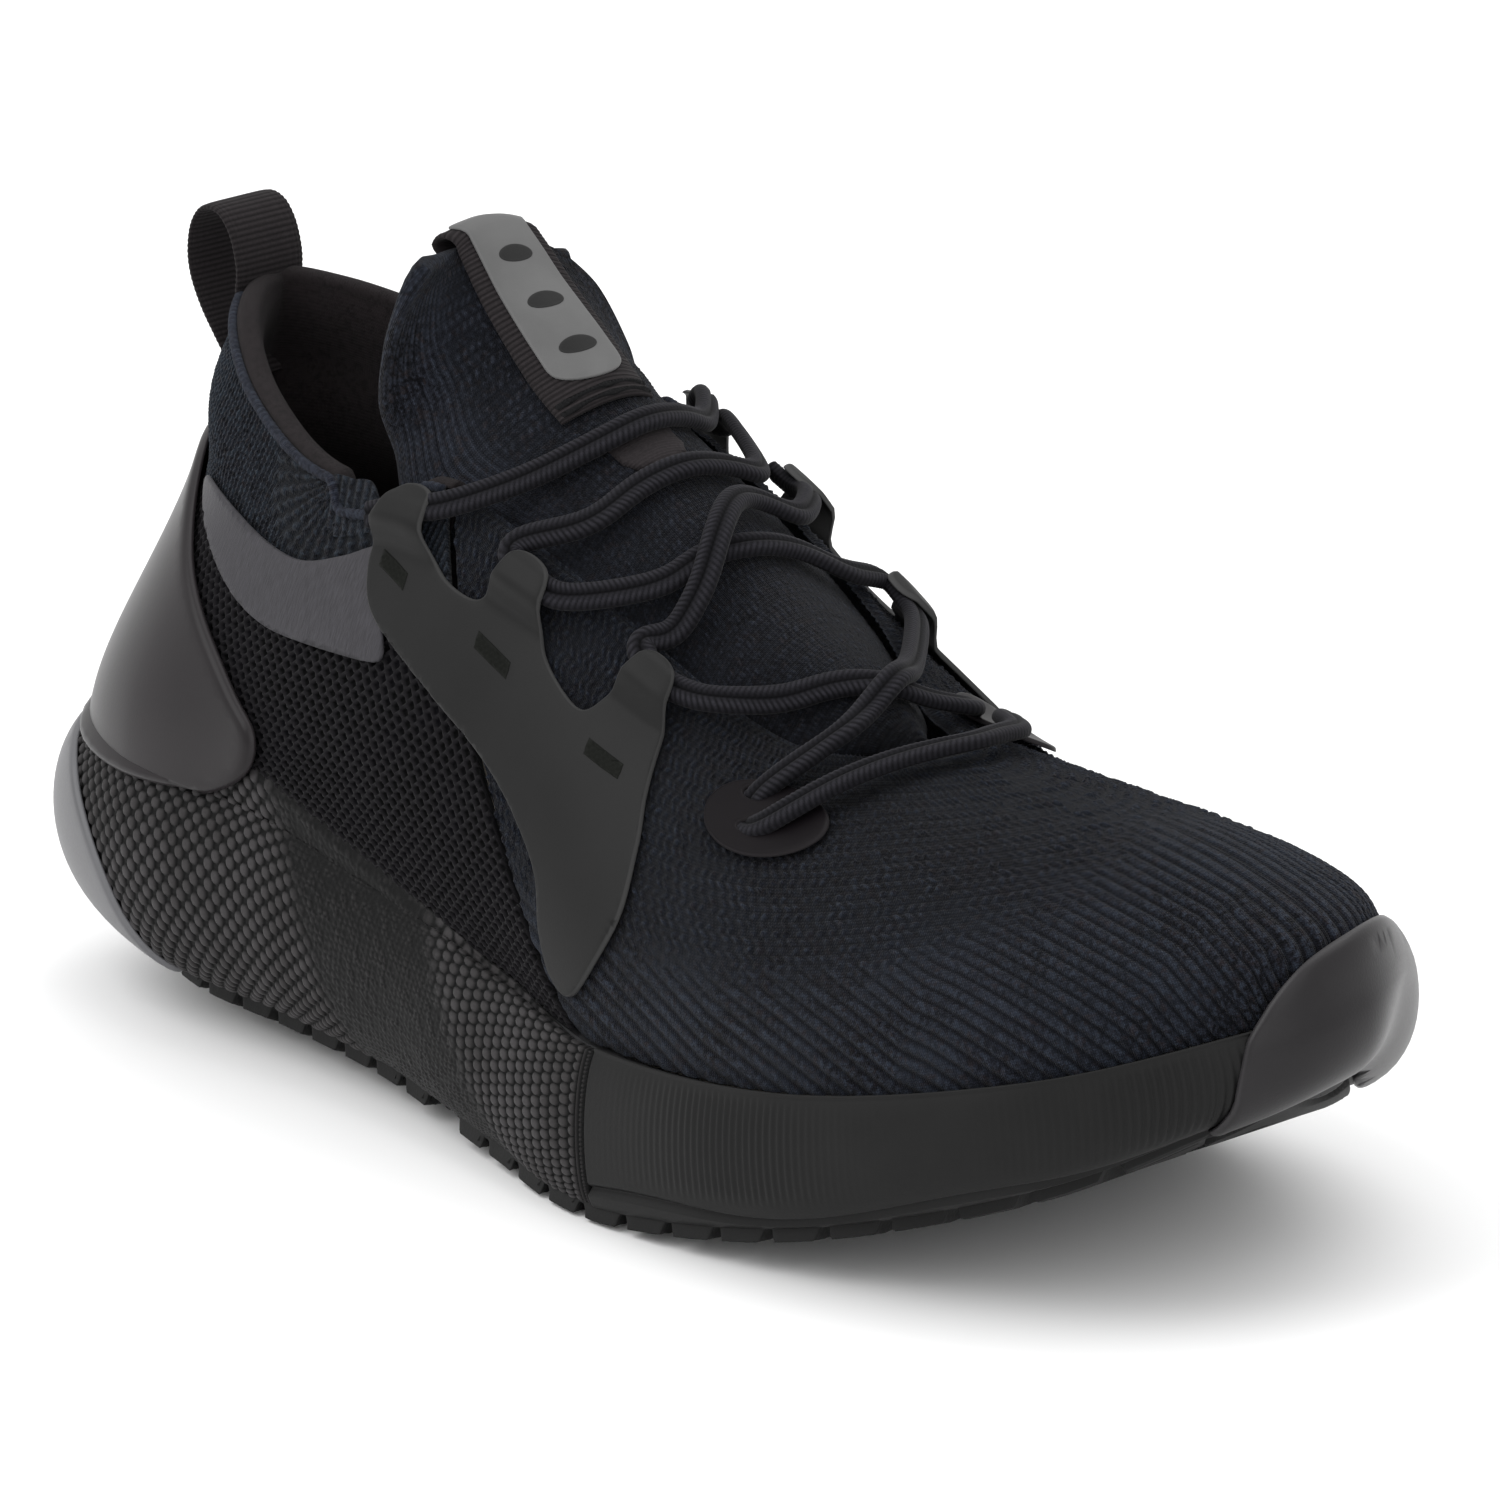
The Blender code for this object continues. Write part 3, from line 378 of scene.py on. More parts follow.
def grid_faces(rows, cols, start=0, closed=False):
    i, j = np.meshgrid(np.arange(rows - 1), np.arange(cols if closed else cols - 1), indexing="ij")
    i, j = i.ravel(), j.ravel()
    k = (j + 1) % cols
    return np.stack([i * cols + j, i * cols + k, (i + 1) * cols + k, (i + 1) * cols + j], 1) + start


def zipped(a, b):
    """Triangles joining two point rows of different density."""
    out, i, j = [], 0, 0
    while i < len(a) - 1 or j < len(b) - 1:
        if j == len(b) - 1 or (i < len(a) - 1 and (i + 1) * (len(b) - 1) <= (j + 1) * (len(a) - 1)):
            out.append((a[i], a[i + 1], b[j]))
            i += 1
        else:
            out.append((a[i], b[j + 1], b[j]))
            j += 1
    return np.array(out, int)


def shell(name, mat, fn, us, vs, outer, inner, uv, shape=None, back_rows=9, **values):
    """Closed sheet over a surface: dense relief outside, plain inner face.

    outer and inner are offsets in millimetres and values are point attributes; each is a
    number or a function of (u, v). shape moves the even (u, v) grid to its place."""
    def spread(rows):
        u, v = np.tile(us, len(rows)), np.repeat(rows, len(us))
        return shape(u, v) if shape else (u, v)

    def sample(f, u, v):
        return f(u, v) if callable(f) else np.full(len(u), float(f))
    front, back = spread(vs), spread(np.linspace(vs[0], vs[-1], back_rows))
    co = np.concatenate([lifted(fn, *front, sample(outer, *front)),
                         lifted(fn, *back, sample(inner, *back))])
    rows, cols = len(vs), len(us)
    count = rows * cols
    f_idx = np.arange(count).reshape(rows, cols)
    b_idx = np.arange(back_rows * cols).reshape(back_rows, cols) + count
    quads = [grid_faces(rows, cols), grid_faces(back_rows, cols, count)[:, ::-1]]
    for end, turn in ((0, -1), (-1, 1)):
        top, low = f_idx[end], b_idx[end]
        quads.append(np.stack([top[:-1], top[1:], low[1:], low[:-1]], 1)[:, ::turn])
    tris = [zipped(f_idx[:, 0], b_idx[:, 0]), zipped(f_idx[:, -1], b_idx[:, -1])[:, ::-1]]
    flat = np.concatenate([np.stack(uv(*at), 1) for at in (front, back)])
    values = {key: np.concatenate([sample(f, *front), np.full(len(back[0]), 0.5)])
              for key, f in values.items()}
    return mesh_object(name, co, [np.concatenate(quads), np.concatenate(tris)], mat, flat, values)


def rounded(points, per=6, closed=True):
    """Smooth curve through the given points, per steps from each to the next."""
    p = np.asarray(points, float)
    n, f = len(p), np.arange(per)[:, None] / per
    out = []
    for i in range(n if closed else n - 1):
        q = [p[k % n] if closed else p[min(max(k, 0), n - 1)] for k in range(i - 1, i + 3)]
        out.append(spline(*q, f))
    if not closed:
        out.append(p[-1:])
    return np.concatenate(out)


def inside(poly, q):
    """Even-odd test of points q against a closed polygon."""
    x, y = q[:, 0][:, None], q[:, 1][:, None]
    a, b = poly, np.roll(poly, -1, 0)
    cross = (a[:, 1] > y) != (b[:, 1] > y)
    with np.errstate(divide="ignore", invalid="ignore"):
        xi = (b[:, 0] - a[:, 0]) * (y - a[:, 1]) / (b[:, 1] - a[:, 1]) + a[:, 0]
    return (cross & (x < xi)).sum(1) % 2 == 1


def edge_distance(poly, q):
    """Distance of points q from the nearest edge of a closed polygon."""
    out = np.full(len(q), 1e9)
    for a, ab in zip(poly, np.roll(poly, -1, 0) - poly):
        f = np.clip(((q - a) @ ab) / (ab @ ab + 1e-12), 0, 1)
        out = np.minimum(out, np.linalg.norm(q - a - f[:, None] * ab, axis=1))
    return out


def film(name, mat, outline, fn, base, thick, bevel=0.7, step=1.2, holes=(), lift=None,
         per=6, relief=None):
    """Closed film cut to a smooth outline in surface coordinates, with a rounded edge."""
    loops = [rounded(outline, per)] + [rounded(h, 5) for h in holes]
    u, v = loops[0].mean(0)
    du, dv = 0.05, 0.01
    p = fn(np.array([u, u + du, u]), np.array([v, v, v + dv]))
    scale = np.array([np.linalg.norm(p[1] - p[0]) / du, np.linalg.norm(p[2] - p[0]) / dv])
    loops = [lp * scale for lp in loops]           # flattened to millimetres

    def gap(q):
        return np.min([edge_distance(lp, q) for lp in loops], axis=0)

    def covered(q):
        keep = inside(loops[0], q)
        for h in loops[1:]:
            keep &= ~inside(h, q)
        return keep
    rings = []
    for lp in loops:
        t = np.roll(lp, -1, 0) - np.roll(lp, 1, 0)
        n = unit(np.stack([-t[:, 1], t[:, 0]], 1))
        rings += [lp + n * sign * bevel * d for d in BEVEL_RINGS for sign in (1, -1)]
    rings = np.concatenate(rings)
    rings = rings[covered(rings)]
    off = np.abs(gap(rings)[:, None] - np.array(BEVEL_RINGS) * bevel)
    rings = rings[np.min(off, axis=1) < 0.05 * bevel]
    lo, hi = loops[0].min(0), loops[0].max(0)
    gx, gy = np.meshgrid(np.arange(lo[0], hi[0], step), np.arange(lo[1], hi[1], step))
    gx = gx + (np.arange(gx.shape[0]) % 2)[:, None] * step / 2
    g = np.stack([gx.ravel(), gy.ravel()], 1)
    g = g[covered(g)]
    flat = np.concatenate([*loops, rings, g[gap(g) > bevel + step * 0.35]])
    edges, at = [], 0
    for lp in loops:
        edges += [(at + i, at + (i + 1) % len(lp)) for i in range(len(lp))]
        at += len(lp)
    co, _, tri, *_ = delaunay_2d_cdt([Vector(q) for q in flat.tolist()], edges, [], 0, 1e-4)
    co = np.array([c[:] for c in co])
    tri = np.array([f for f in tri if len(f) == 3], int)
    tri = tri[covered(co[tri].mean(1))]
    used, tri = np.unique(tri, return_inverse=True)
    co, tri = co[used], tri.reshape(-1, 3)
    d = gap(co)
    u, v = co[:, 0] / scale[0], co[:, 1] / scale[1]
    up = lift(u, v) if lift else np.zeros(len(u))
    bump = relief(co[:, 0], co[:, 1], d) if relief else 0.0
    top = lifted(fn, u, v, base + up + thick * (0.3 + 0.7 * dome(d / bevel)) + bump)
    low = lifted(fn, u, v, base + up)
    n = len(co)
    sides = np.concatenate([tri[:, [0, 1]], tri[:, [1, 2]], tri[:, [2, 0]]])
    seen = set(map(tuple, sides.tolist()))
    rim = np.array([(a, b) for a, b in seen if (b, a) not in seen], int)
    walls = np.stack([rim[:, 1], rim[:, 0], rim[:, 0] + n, rim[:, 1] + n], 1)
    return mesh_object(name, np.concatenate([top, low]), [tri, tri[:, ::-1] + n, walls], mat,
                       np.concatenate([co, co]),
                       {"edge": np.concatenate([d, d * 0]), "relief": np.ones(2 * n)})


def resample(pts, step, vectors):
    """Even steps along a smooth curve through the points, with the matching vectors."""
    fine = rounded(pts, 24, closed=False)
    cum = run_length(fine)
    s = np.linspace(0, cum[-1], max(2, int(cum[-1] / step) + 1))
    pts, vectors = (np.stack([np.interp(s, cum, a[:, i]) for i in range(3)], 1)
                    for a in (fine, rounded(vectors, 24, closed=False)))
    return pts, s, vectors


def sweep(name, mat, pts, up, s, section):
    """Closed solid swept along points; section(s) gives each ring's side, height and relief."""
    t = unit(np.gradient(pts, axis=0))
    n = unit(up - t * np.einsum("ij,ij->i", up, t)[:, None])
    side, high, shade = section(s)
    rows, cols = side.shape
    co = pts[:, None] + np.cross(t, n)[:, None] * side[:, :, None] + n[:, None] * high[:, :, None]
    co = np.concatenate([co.reshape(-1, 3), pts[:1], pts[-1:]])
    uv = np.stack([np.repeat(s, cols), np.tile(np.linspace(0, 12, cols), rows)], 1)
    uv = np.concatenate([uv, uv[:1], uv[-1:]])
    first = np.arange(cols)
    last = first + (rows - 1) * cols
    caps = [np.stack([np.roll(first, -1), first, np.full(cols, len(co) - 2)], 1),
            np.stack([last, np.roll(last, -1), np.full(cols, len(co) - 1)], 1)]
    return mesh_object(name, co, [grid_faces(rows, cols, closed=True), *caps], mat, uv,
                       {"relief": np.concatenate([shade.ravel(), [0.5, 0.5]])})


# ---------------------------------------------------------------- materials
class Shader:
    """Adds and links nodes in one material."""

    def __init__(self, name, rgb, rough, **constants):
        self.mat = bpy.data.materials.new(name)
        self.mat.use_nodes = True
        self.nt = self.mat.node_tree
        self.bsdf = self.nt.nodes["Principled BSDF"]
        for key, value in {"Base_Color": (*rgb, 1), "Roughness": rough, **constants}.items():
            self.bsdf.inputs[key.replace("_", " ")].default_value = value
        self.place = self.node("TexCoord").outputs["Object"]
        self.flat = self.node("UVMap", uv_map="flat").outputs["UV"]

    def put(self, socket, value):
        if hasattr(value, "is_output"):
            self.nt.links.new(value, socket)
        else:
            socket.default_value = value

    def node(self, kind, inputs=None, **props):
        """New node; inputs are constants or other nodes' outputs, by name or number."""
        n = self.nt.nodes.new("ShaderNode" + kind)
        for key, value in props.items():
            setattr(n, key, value)
        for key, value in (inputs or {}).items():
            self.put(n.inputs[key], value)
        return n

    def noise(self, per_m, detail=3.0, rough=0.55, where=None):
        return self.node("TexNoise", {"Scale": per_m, "Detail": detail, "Roughness": rough,
                                      "Vector": where or self.place}).outputs["Fac"]

    def relief(self, key="relief"):
        return self.node("Attribute", attribute_name=key).outputs["Fac"]

    def math(self, op, *values):
        return self.node("Math", dict(enumerate(values)), operation=op).outputs[0]

    def ramp(self, fac, *stops):
        """Colour ramp; each stop is a position and a colour or grey value."""
        n = self.node("ValToRGB", {"Fac": fac})
        e = n.color_ramp.elements
        while len(e) < len(stops):
            e.new(0.5)
        for el, (pos, rgb) in zip(e, stops):
            el.position = pos
            el.color = (*rgb, 1) if hasattr(rgb, "__len__") else (*grey(rgb), 1)
        return n.outputs["Color"]

    def fade(self, fac, lo, hi):
        return self.ramp(fac, (lo, 0.0), (hi, 1.0))

    def mix(self, fac, a, b):
        a, b = (c if hasattr(c, "is_output") else (*c, 1) for c in (a, b))
        return self.node("Mix", {"Factor": fac, 6: a, 7: b}, data_type="RGBA").outputs[2]

    def color(self, out):
        self.put(self.bsdf.inputs["Base Color"], out)

    def rough(self, fac, low, high):
        n = self.node("MapRange", {"Value": fac, "To Min": low, "To Max": high})
        self.put(self.bsdf.inputs["Roughness"], n.outputs["Result"])

    def bump(self, height, dist_mm, strength=0.6, before=None):
        n = self.node("Bump", {"Distance": dist_mm * MM, "Strength": strength, "Height": height})
        if before is not None:
            self.put(n.inputs["Normal"], before)
        self.put(self.bsdf.inputs["Normal"], n.outputs["Normal"])
        return n.outputs["Normal"]

    def finish(self, grain, low, high, dist_mm, strength=0.5, before=None):
        """Fine grain drives the roughness and the last bump; returns the material."""
        self.rough(grain, low, high)
        self.bump(grain, dist_mm, strength, before)
        return self.mat

    def across(self, axis):
        """Flat-map millimetres along one axis."""
        return self.node("SeparateXYZ", {0: self.flat}).outputs[axis]

    def stitches(self, wide, tall):
        """Rows of V-shaped knit loops in millimetres of the flat map."""
        m = self.math
        leg = m("ABSOLUTE", m("SUBTRACT", m("FRACT", m("DIVIDE", self.across(0), wide)), 0.5))
        row = m("ADD", m("DIVIDE", self.across(1), tall), m("MULTIPLY", leg, 1.3))
        loop = m("SINE", m("MULTIPLY", m("FRACT", row), math.pi))
        valley = m("SMOOTH_MIN", m("MULTIPLY", leg, 5.0), 1.0, 0.3)
        edge = m("SMOOTH_MIN", m("MULTIPLY", m("SUBTRACT", 0.5, leg), 6.0), 1.0, 0.3)
        return m("MULTIPLY", m("MULTIPLY", loop, valley), edge)

    def bars(self, pitch, axis):
        """Even waves along one axis of the flat map, from 0 to 1."""
        x = self.math("MULTIPLY", self.across(axis), 2 * math.pi / pitch)
        return self.math("MULTIPLY_ADD", self.math("SINE", x), 0.5, 0.5)


def cloth(name, rgb, rough, sheen, sheen_rough, spec):
    return Shader(name, rgb, rough, Sheen_Weight=sheen, Sheen_Roughness=sheen_rough,
                  Specular_IOR_Level=spec)


def knit(name, deep, yarn, glint, wide=1.0, tall=0.8, fleck=0.5, shade=0.16):
    """Melange knit: recesses darkened as painted shade, loops lighter, flecks of blue and brown
    yarn.
    """
    s = cloth(name, yarn, 0.9, 0.05, 0.45, 0.07)
    loops = s.stitches(wide, tall)
    fine = s.noise(1050, 2, 0.7)
    yarns = s.ramp(fine, (0.38, deep), (0.5, yarn), (0.62, glint))
    tinted = s.mix(s.fade(s.noise(38, 3), 0.42, 0.62), yarns,
                   s.mix(0.5, yarns, glint))
    brown = tuple(c * f for c, f in zip(yarn, (1.75, 1.15, 0.8)))
    tinted = s.mix(s.ramp(s.noise(620, 2, 0.6), (0.56, 0.0), (0.66, fleck)), tinted, brown)
    # Painted shade: the gaps between loops and the low parts of the relief mix towards the deep
    # colour.
    depth = s.math("MULTIPLY", s.math("MULTIPLY_ADD", loops, 0.45, 0.55),
                   s.math("MULTIPLY_ADD", s.relief(), 1 - shade, shade))
    s.color(s.mix(depth, deep, tinted))
    return s.finish(fine, 0.8, 0.97, 0.12, before=s.bump(loops, 0.22, 0.75))


def open_mesh(name, deep, strand, glint):
    """Knitted net: strands catch light; the openings show a dark backing, painted darker as shade,
    with patches of painted glint.
    """
    s = cloth(name, strand, 0.75, 0.04, 0.4, 0.08)
    fine = s.noise(1300, 2, 0.7)
    # Painted shade in the openings, broken by noise patches of painted glint.
    holes = s.mix(s.fade(s.noise(120, 3), 0.45, 0.6), deep, glint)
    yarns = s.mix(fine, tone(strand, 0.55), tone(strand, 1.5))
    s.color(s.mix(s.fade(s.relief(), 0.3, 0.8), holes, yarns))
    return s.finish(fine, 0.6, 0.9, 0.15, 0.6)


def pillow_weave(name, deep, yarn, glint):
    """Woven sole wrap: each pillow is a satin loop with a gap round it darkened as painted shade.
    """
    s = cloth(name, yarn, 0.6, 0.03, 0.5, 0.12)
    fine = s.noise(1700, 2, 0.6)
    yarns = s.mix(s.fade(s.noise(60, 4), 0.4, 0.62), yarn, glint)
    s.color(s.mix(s.fade(s.relief(), 0.2, 0.85), deep, yarns))
    return s.finish(fine, 0.42, 0.72, 0.1)


def moulded(name, rgb, rough, grain=2200, depth=0.05, edge_highlight=0.35, spec=0.15, coat=0.0, spread=0.12):
    """Rubber, film or moulded plastic with fine grain, cloudy tone and a painted highlight along
    its edges.
    """
    s = Shader(name, rgb, rough, Specular_IOR_Level=spec, Coat_Weight=coat, Coat_Roughness=0.2)
    fine = s.noise(grain, 2, 0.6)
    cloud = s.noise(45, 4)
    body = s.mix(s.ramp(cloud, (0.35, 0.0), (0.7, 0.5)), rgb, tone(rgb, 1.7))
    # Painted highlight: the colour turns lighter where the edge attribute is under 0.45, along film
    # outlines and the sidewall lip.
    edge = s.ramp(s.relief("edge"), (0.0, edge_highlight), (0.45, 0.0))
    s.color(s.mix(edge, body, tone(rgb, 3.2, 0.03)))
    s.rough(s.math("MULTIPLY_ADD", cloud, 0.6, s.math("MULTIPLY", fine, 0.4)),
            max(0.05, rough - spread), rough + spread)
    s.bump(fine, depth, 0.5)
    return s.mat


def webbing(name, deep, yarn):
    """Woven tape: painted shade between its cross ribs leaves the ribs lighter."""
    s = cloth(name, yarn, 0.85, 0.03, 0.5, 0.06)
    fine = s.noise(1900, 2, 0.6)
    yarns = s.mix(fine, tone(yarn, 0.6), tone(yarn, 1.6))
    s.color(s.mix(s.math("MULTIPLY_ADD", s.relief(), 0.75, 0.25), deep, yarns))
    return s.finish(fine, 0.75, 0.95, 0.1, before=s.bump(s.bars(0.55, 1), 0.1, 0.5))


def braid(name, deep, yarn):
    """Flat braided lace: plaited yarns on both edges of a groove darkened as painted shade."""
    s = cloth(name, yarn, 0.85, 0.05, 0.4, 0.07)
    fine = s.noise(1600, 2, 0.7)
    yarns = s.mix(fine, tone(yarn, 0.6), tone(yarn, 1.7))
    s.color(s.mix(s.fade(s.relief(), 0.1, 0.8), deep, yarns))
    return s.finish(fine, 0.75, 0.95, 0.14, 0.6)


def brushed(name, rgb):
    """Brushed satin textile with short upright strokes."""
    s = cloth(name, rgb, 0.5, 0.06, 0.3, 0.2)
    stretch = s.node("Mapping", {"Scale": (1.0, 0.16, 1.0), "Vector": s.flat})
    hair = s.noise(2.6, 3, 0.6, stretch.outputs["Vector"])
    body = s.mix(s.fade(hair, 0.3, 0.7), tone(rgb, 0.62), tone(rgb, 1.35))
    s.color(s.mix(s.ramp(s.noise(90, 3), (0.3, 0.25), (0.7, 0.0)), body, tone(rgb, 0.5)))
    return s.finish(hair, 0.38, 0.68, 0.16, 0.6)


# ---------------------------------------------------------------- sole
WRAP_END = 5.985              # station where the woven wrap meets the bare rubber
DENSE = detail(0.29, 0.7)     # spacing of points across a woven pattern


def even(fn, t0, t1, v, step):
    """Stations spaced evenly in millimetres along a surface line."""
    t, length = arc_table(fn, t0, t1, v)
    n = max(2, int(length[-1] / step))
    return np.interp(np.linspace(0, length[-1], n), length, t)


def along(fn, t0, t1, v):
    """Function from station to millimetres along a surface line."""
    t, length = arc_table(fn, t0, t1, v)
    return lambda q: np.interp(q, t, length)


def wrap_top(t):
    """How far up the heel the sole's woven wrap reaches over the knit."""
    d = side_distance(t)
    return np.interp(d, (0, 2.6, 3.1, 3.7, 4.25, 4.9, 6), (0.2, 0.22, 0.21, 0.13, 0.07, 0.012, 0.0))


def midsole_wrap(mats):
    dist = along(sole_at, -6.2, 6.2, 0.5)
    height = 44.0         # of the wrap's flat map

    def over(t, v):
        return over_at(t, v * (1 + wrap_top(t)) - 1)

    def pattern(t, v):
        """Round pillows behind, a rough fine weave under the arch, tall pillows in front."""
        d = side_distance(t)
        a, b = dist(signed(t)), v * height
        x, y = a + 0.4 * b, b - 0.2 * a
        big = dots(a, b, 3.7, 1.41, 1.12, 0.98)
        fine = ((0.25 + 0.75 * scatter(np.floor(x / 1.5), np.floor(y / 1.2)))
                * dots(x, y, 1.5, 1.2, 0.8, 0.66))
        tall = dots(b, a, 2.45, 2.7, 1.2, 1.3)
        k1 = smooth01((d - 3.4 + (v - 0.5) * 0.8) / 0.3)
        k2 = smooth01((d - 4.75 + (v - 0.5) * 0.9) / 0.35)
        # The relief also sets the wrap's painted shade, so the fine weave at 0.45 of the height
        # reads darker.
        weave = big * (1 - k1) + 0.45 * fine * k1 * (1 - k2) + tall * k2
        back = (WRAP_END - d) * 45.0           # millimetres from the front edge
        seam = np.exp(-((back - 0.7) / 0.3) ** 2) * ribs(b / 1.1, 0.6)
        seam = np.maximum(seam, 0.8 * np.exp(-((back - 2.0) / 0.3) ** 2))
        flat = smooth01((back - 2.6) / 0.3)
        return weave * flat + seam * (1 - flat)

    def outer(t, v):
        soft = 0.35 * np.sin(dist(signed(t)) * 0.21) * np.sin(math.pi * v)
        fold = smooth01((1 - v) / 0.05)
        start = smooth01(v / 0.02)
        sunk = 1.0 * fold * (0.4 + 0.6 * start) - 0.9
        return sunk + (0.62 * pattern(t, v) + 0.2 * soft) * fold
    ob = shell("sole_wrap", mats["wrap"], over, even(sole_at, -WRAP_END, WRAP_END, 0.5, DENSE),
               np.linspace(0.0, 1.0, int(50 / DENSE)), outer, -1.6,
               lambda t, v: (dist(t), v * height), relief=pattern)
    attach(ob, "wrap", "shoe", "midsole_mesh_wrap")


def sidewall(mats):
    dist = along(sole_at, 5.9, 14.1, 0.6)

    def rib_zone(t, p):
        """The ribs show beside the bumper, next to the wrap and on the inner side."""
        near = np.exp(-((t - 8.55) / 0.42) ** 2) + np.exp(-((t - 6.75) / 0.35) ** 2) * 0.6
        near = near + np.exp(-((t - 11.6) / 0.5) ** 2)
        return near * smooth01((p - 0.25) / 0.15) * smooth01((0.97 - p) / 0.1)

    def outer(t, p):
        groove = ribs(dist(t) / 1.5) - 1
        crest = 0.3 * smooth01((p - 0.955) / 0.03)
        parting = 0.17 + 0.05 * np.sin(dist(t) * 0.09)
        cut = np.exp(-((p - parting) / 0.022) ** 2)
        lip = 0.45 * smooth01((parting - 0.03 - p) / 0.02)
        return (0.5 * groove * rib_zone(t, p) - 0.75 * cut + lip + 0.35
                - 0.5 * smooth01((p - 0.985) / 0.015) + crest)
    # edge counts down to 0 at the top lip, where the material paints a lighter highlight.
    ob = shell("forefoot_wall", mats["sidewall"], sole_at,
               even(sole_at, 5.997, 14.003, 0.5, detail(0.3, 0.9)), np.linspace(0, 1, 130),
               outer, -1.0, lambda t, p: (dist(t), p * 30.0),
               edge=lambda t, p: (1 - p) * 24.0, relief=1)
    attach(ob, "sidewall", "shoe", "forefoot_sidewall")


def heel_and_toe_rubber(mats):
    side = [(0.9, 0.01), (1.8, 0.015), (2.03, 0.06), (2.03, 0.18), (1.97, 0.34), (1.86, 0.52),
            (1.64, 0.70), (1.3, 0.85), (0.7, 0.925)]
    clip = [*side, *[(-u, v) for u, v in reversed(side)]]
    bumper = [(9.0, -0.95), (10.4, -0.97), (11.9, -0.95), (11.98, -0.5), (11.9, -0.08),
              (11.6, 0.05), (11.0, 0.13), (10.3, 0.18), (9.75, 0.17), (9.4, 0.12),
              (9.15, 0.03), (9.0, -0.12), (8.9, -0.5)]
    attach(film("heel_clip_rubber", mats["clip"], clip, sole_at, 0.62, 1.15, bevel=1.3, step=1.4),
           "clip", "shoe", "heel_clip")
    attach(film("toe_bumper_rubber", mats["bumper"], bumper, soft_ledge, 0.8, 1.25, bevel=1.0),
           "bumper", "shoe", "toe_bumper")


def tread_profile(x, f):
    """Edges, foot and top of the tread: x along, f across from the outer to the inner side."""
    t = np.linspace(0.3, 9.7, 120)
    a, b = around(L_TAB, t)[:, 0], around(L_TAB, N - t)[:, 0]
    y, chord = (np.interp(x, a[:, 0], a[:, i]) * (1 - f) + np.interp(x, b[:, 0], b[:, i]) * f
                for i in (1, 2))
    rise = np.interp(x, np.array([30, 55, 185, 205]) + SHIFT_X, [1, 0, 0, 1])
    edge = np.clip((np.abs(2 * f - 1) - 0.4) / 0.6, 0, 1) ** 2
    return y, np.maximum(chord * (rise + (1 - rise) * edge), 0.0), chord + TREAD


def tread(mats):
    """Wavy lugs with rounded shoulders, cut by grooves that run out to both edges."""
    rows = np.concatenate([np.linspace(0, 0.045, 10), np.linspace(0.05, 0.95, 130),
                           np.linspace(0.955, 1, 10)])
    for name, node, x0, x1, pitch in (("tread_heel", "outsole_heel", 19, 118, 9.9),
                                      ("tread_forefoot", "outsole_forefoot", 128, 279, 10.8)):
        x0, x1 = x0 + SHIFT_X, x1 + SHIFT_X

        def face(x, q, x0=x0, pitch=pitch):
            """q runs up the outer wall, across the foot of the tread and down the inner wall."""
            f = np.clip((q - 0.05) / 0.9, 0, 1)
            wall = np.clip(np.maximum(0.05 - q, q - 0.95) / 0.05, 0, 1)
            y, foot, roof = tread_profile(x, f)
            wave = 2.4 * np.sin(2 * math.pi * f * 2.5)
            d = np.abs(((x - x0 + wave) / pitch) % 1 - 0.5) * pitch
            line = smooth01((np.abs(f - 0.5 + 0.04 * np.sin(x * 0.5)) - 0.02) / 0.02)
            lug = smooth01((pitch / 2 - d) / 0.8 - 1.0) * line
            shoulder = np.exp(-(np.minimum(f, 1 - f) / 0.02) ** 2)
            foot = foot + 2.1 * (1 - lug) + 0.5 * shoulder
            bulge = (0.25 + 0.55 * lug * (1 - wall)) * np.where(f < 0.5, -1.0, 1.0)
            z = foot * (1 - wall) + (roof - 0.1) * wall
            return np.stack([x, y + bulge * shoulder, z], 1)
        columns = np.linspace(x0, x1, int((x1 - x0) / detail(0.45, 1.0)))
        ob = shell(name, mats["outsole"], face, columns, rows, 0.0, 1.2,
                   lambda x, q: (x, q * 95.0), back_rows=90, edge=9, relief=1)
        attach(ob, "outsole", "shoe", node)


# ---------------------------------------------------------------- upper
def vamp_fade(t, w):
    """1 where long knit ribs show, 0 where the knit turns to fine chevrons."""
    limit = 0.42 + 0.34 * np.exp(-((t - 10) / 1.8) ** 2)
    return smooth01((limit - w) / 0.22)


def rib_lines(p):
    """Millimetres across the forefoot ribs, which run forward and drift down the sides."""
    x, y, z = p[:, 0] - SHIFT_X, p[:, 1] - SHIFT_Y, p[:, 2]
    crown = np.interp(x, (200, 245.5, 275.4, 286.6, 289.4, 290.5), (73, 71.8, 67.4, 61, 56.3, 50.5))
    drift = np.interp(x, (120, 200, 240, 270), (0, 35, 45, 45))
    return np.abs(y - 2.0) + 0.8 * np.maximum(crown - z, 0) - drift


CHEVRON = 1.8          # height of one row of leaning knit loops, millimetres


def chevrons(a, b):
    """Rows of short leaning knit loops, of uneven brightness."""
    row = np.floor(b / CHEVRON)
    lean = np.where(row % 2 > 0, 0.5, -0.5)
    x = (a + lean * (b % CHEVRON)) / 1.6 + 0.31 * np.sin(row * 1.7)
    return ribs(x, 1.4) * (0.1 + 0.9 * scatter(np.floor(x), row)) * ribs(b / CHEVRON - 0.5, 0.6)


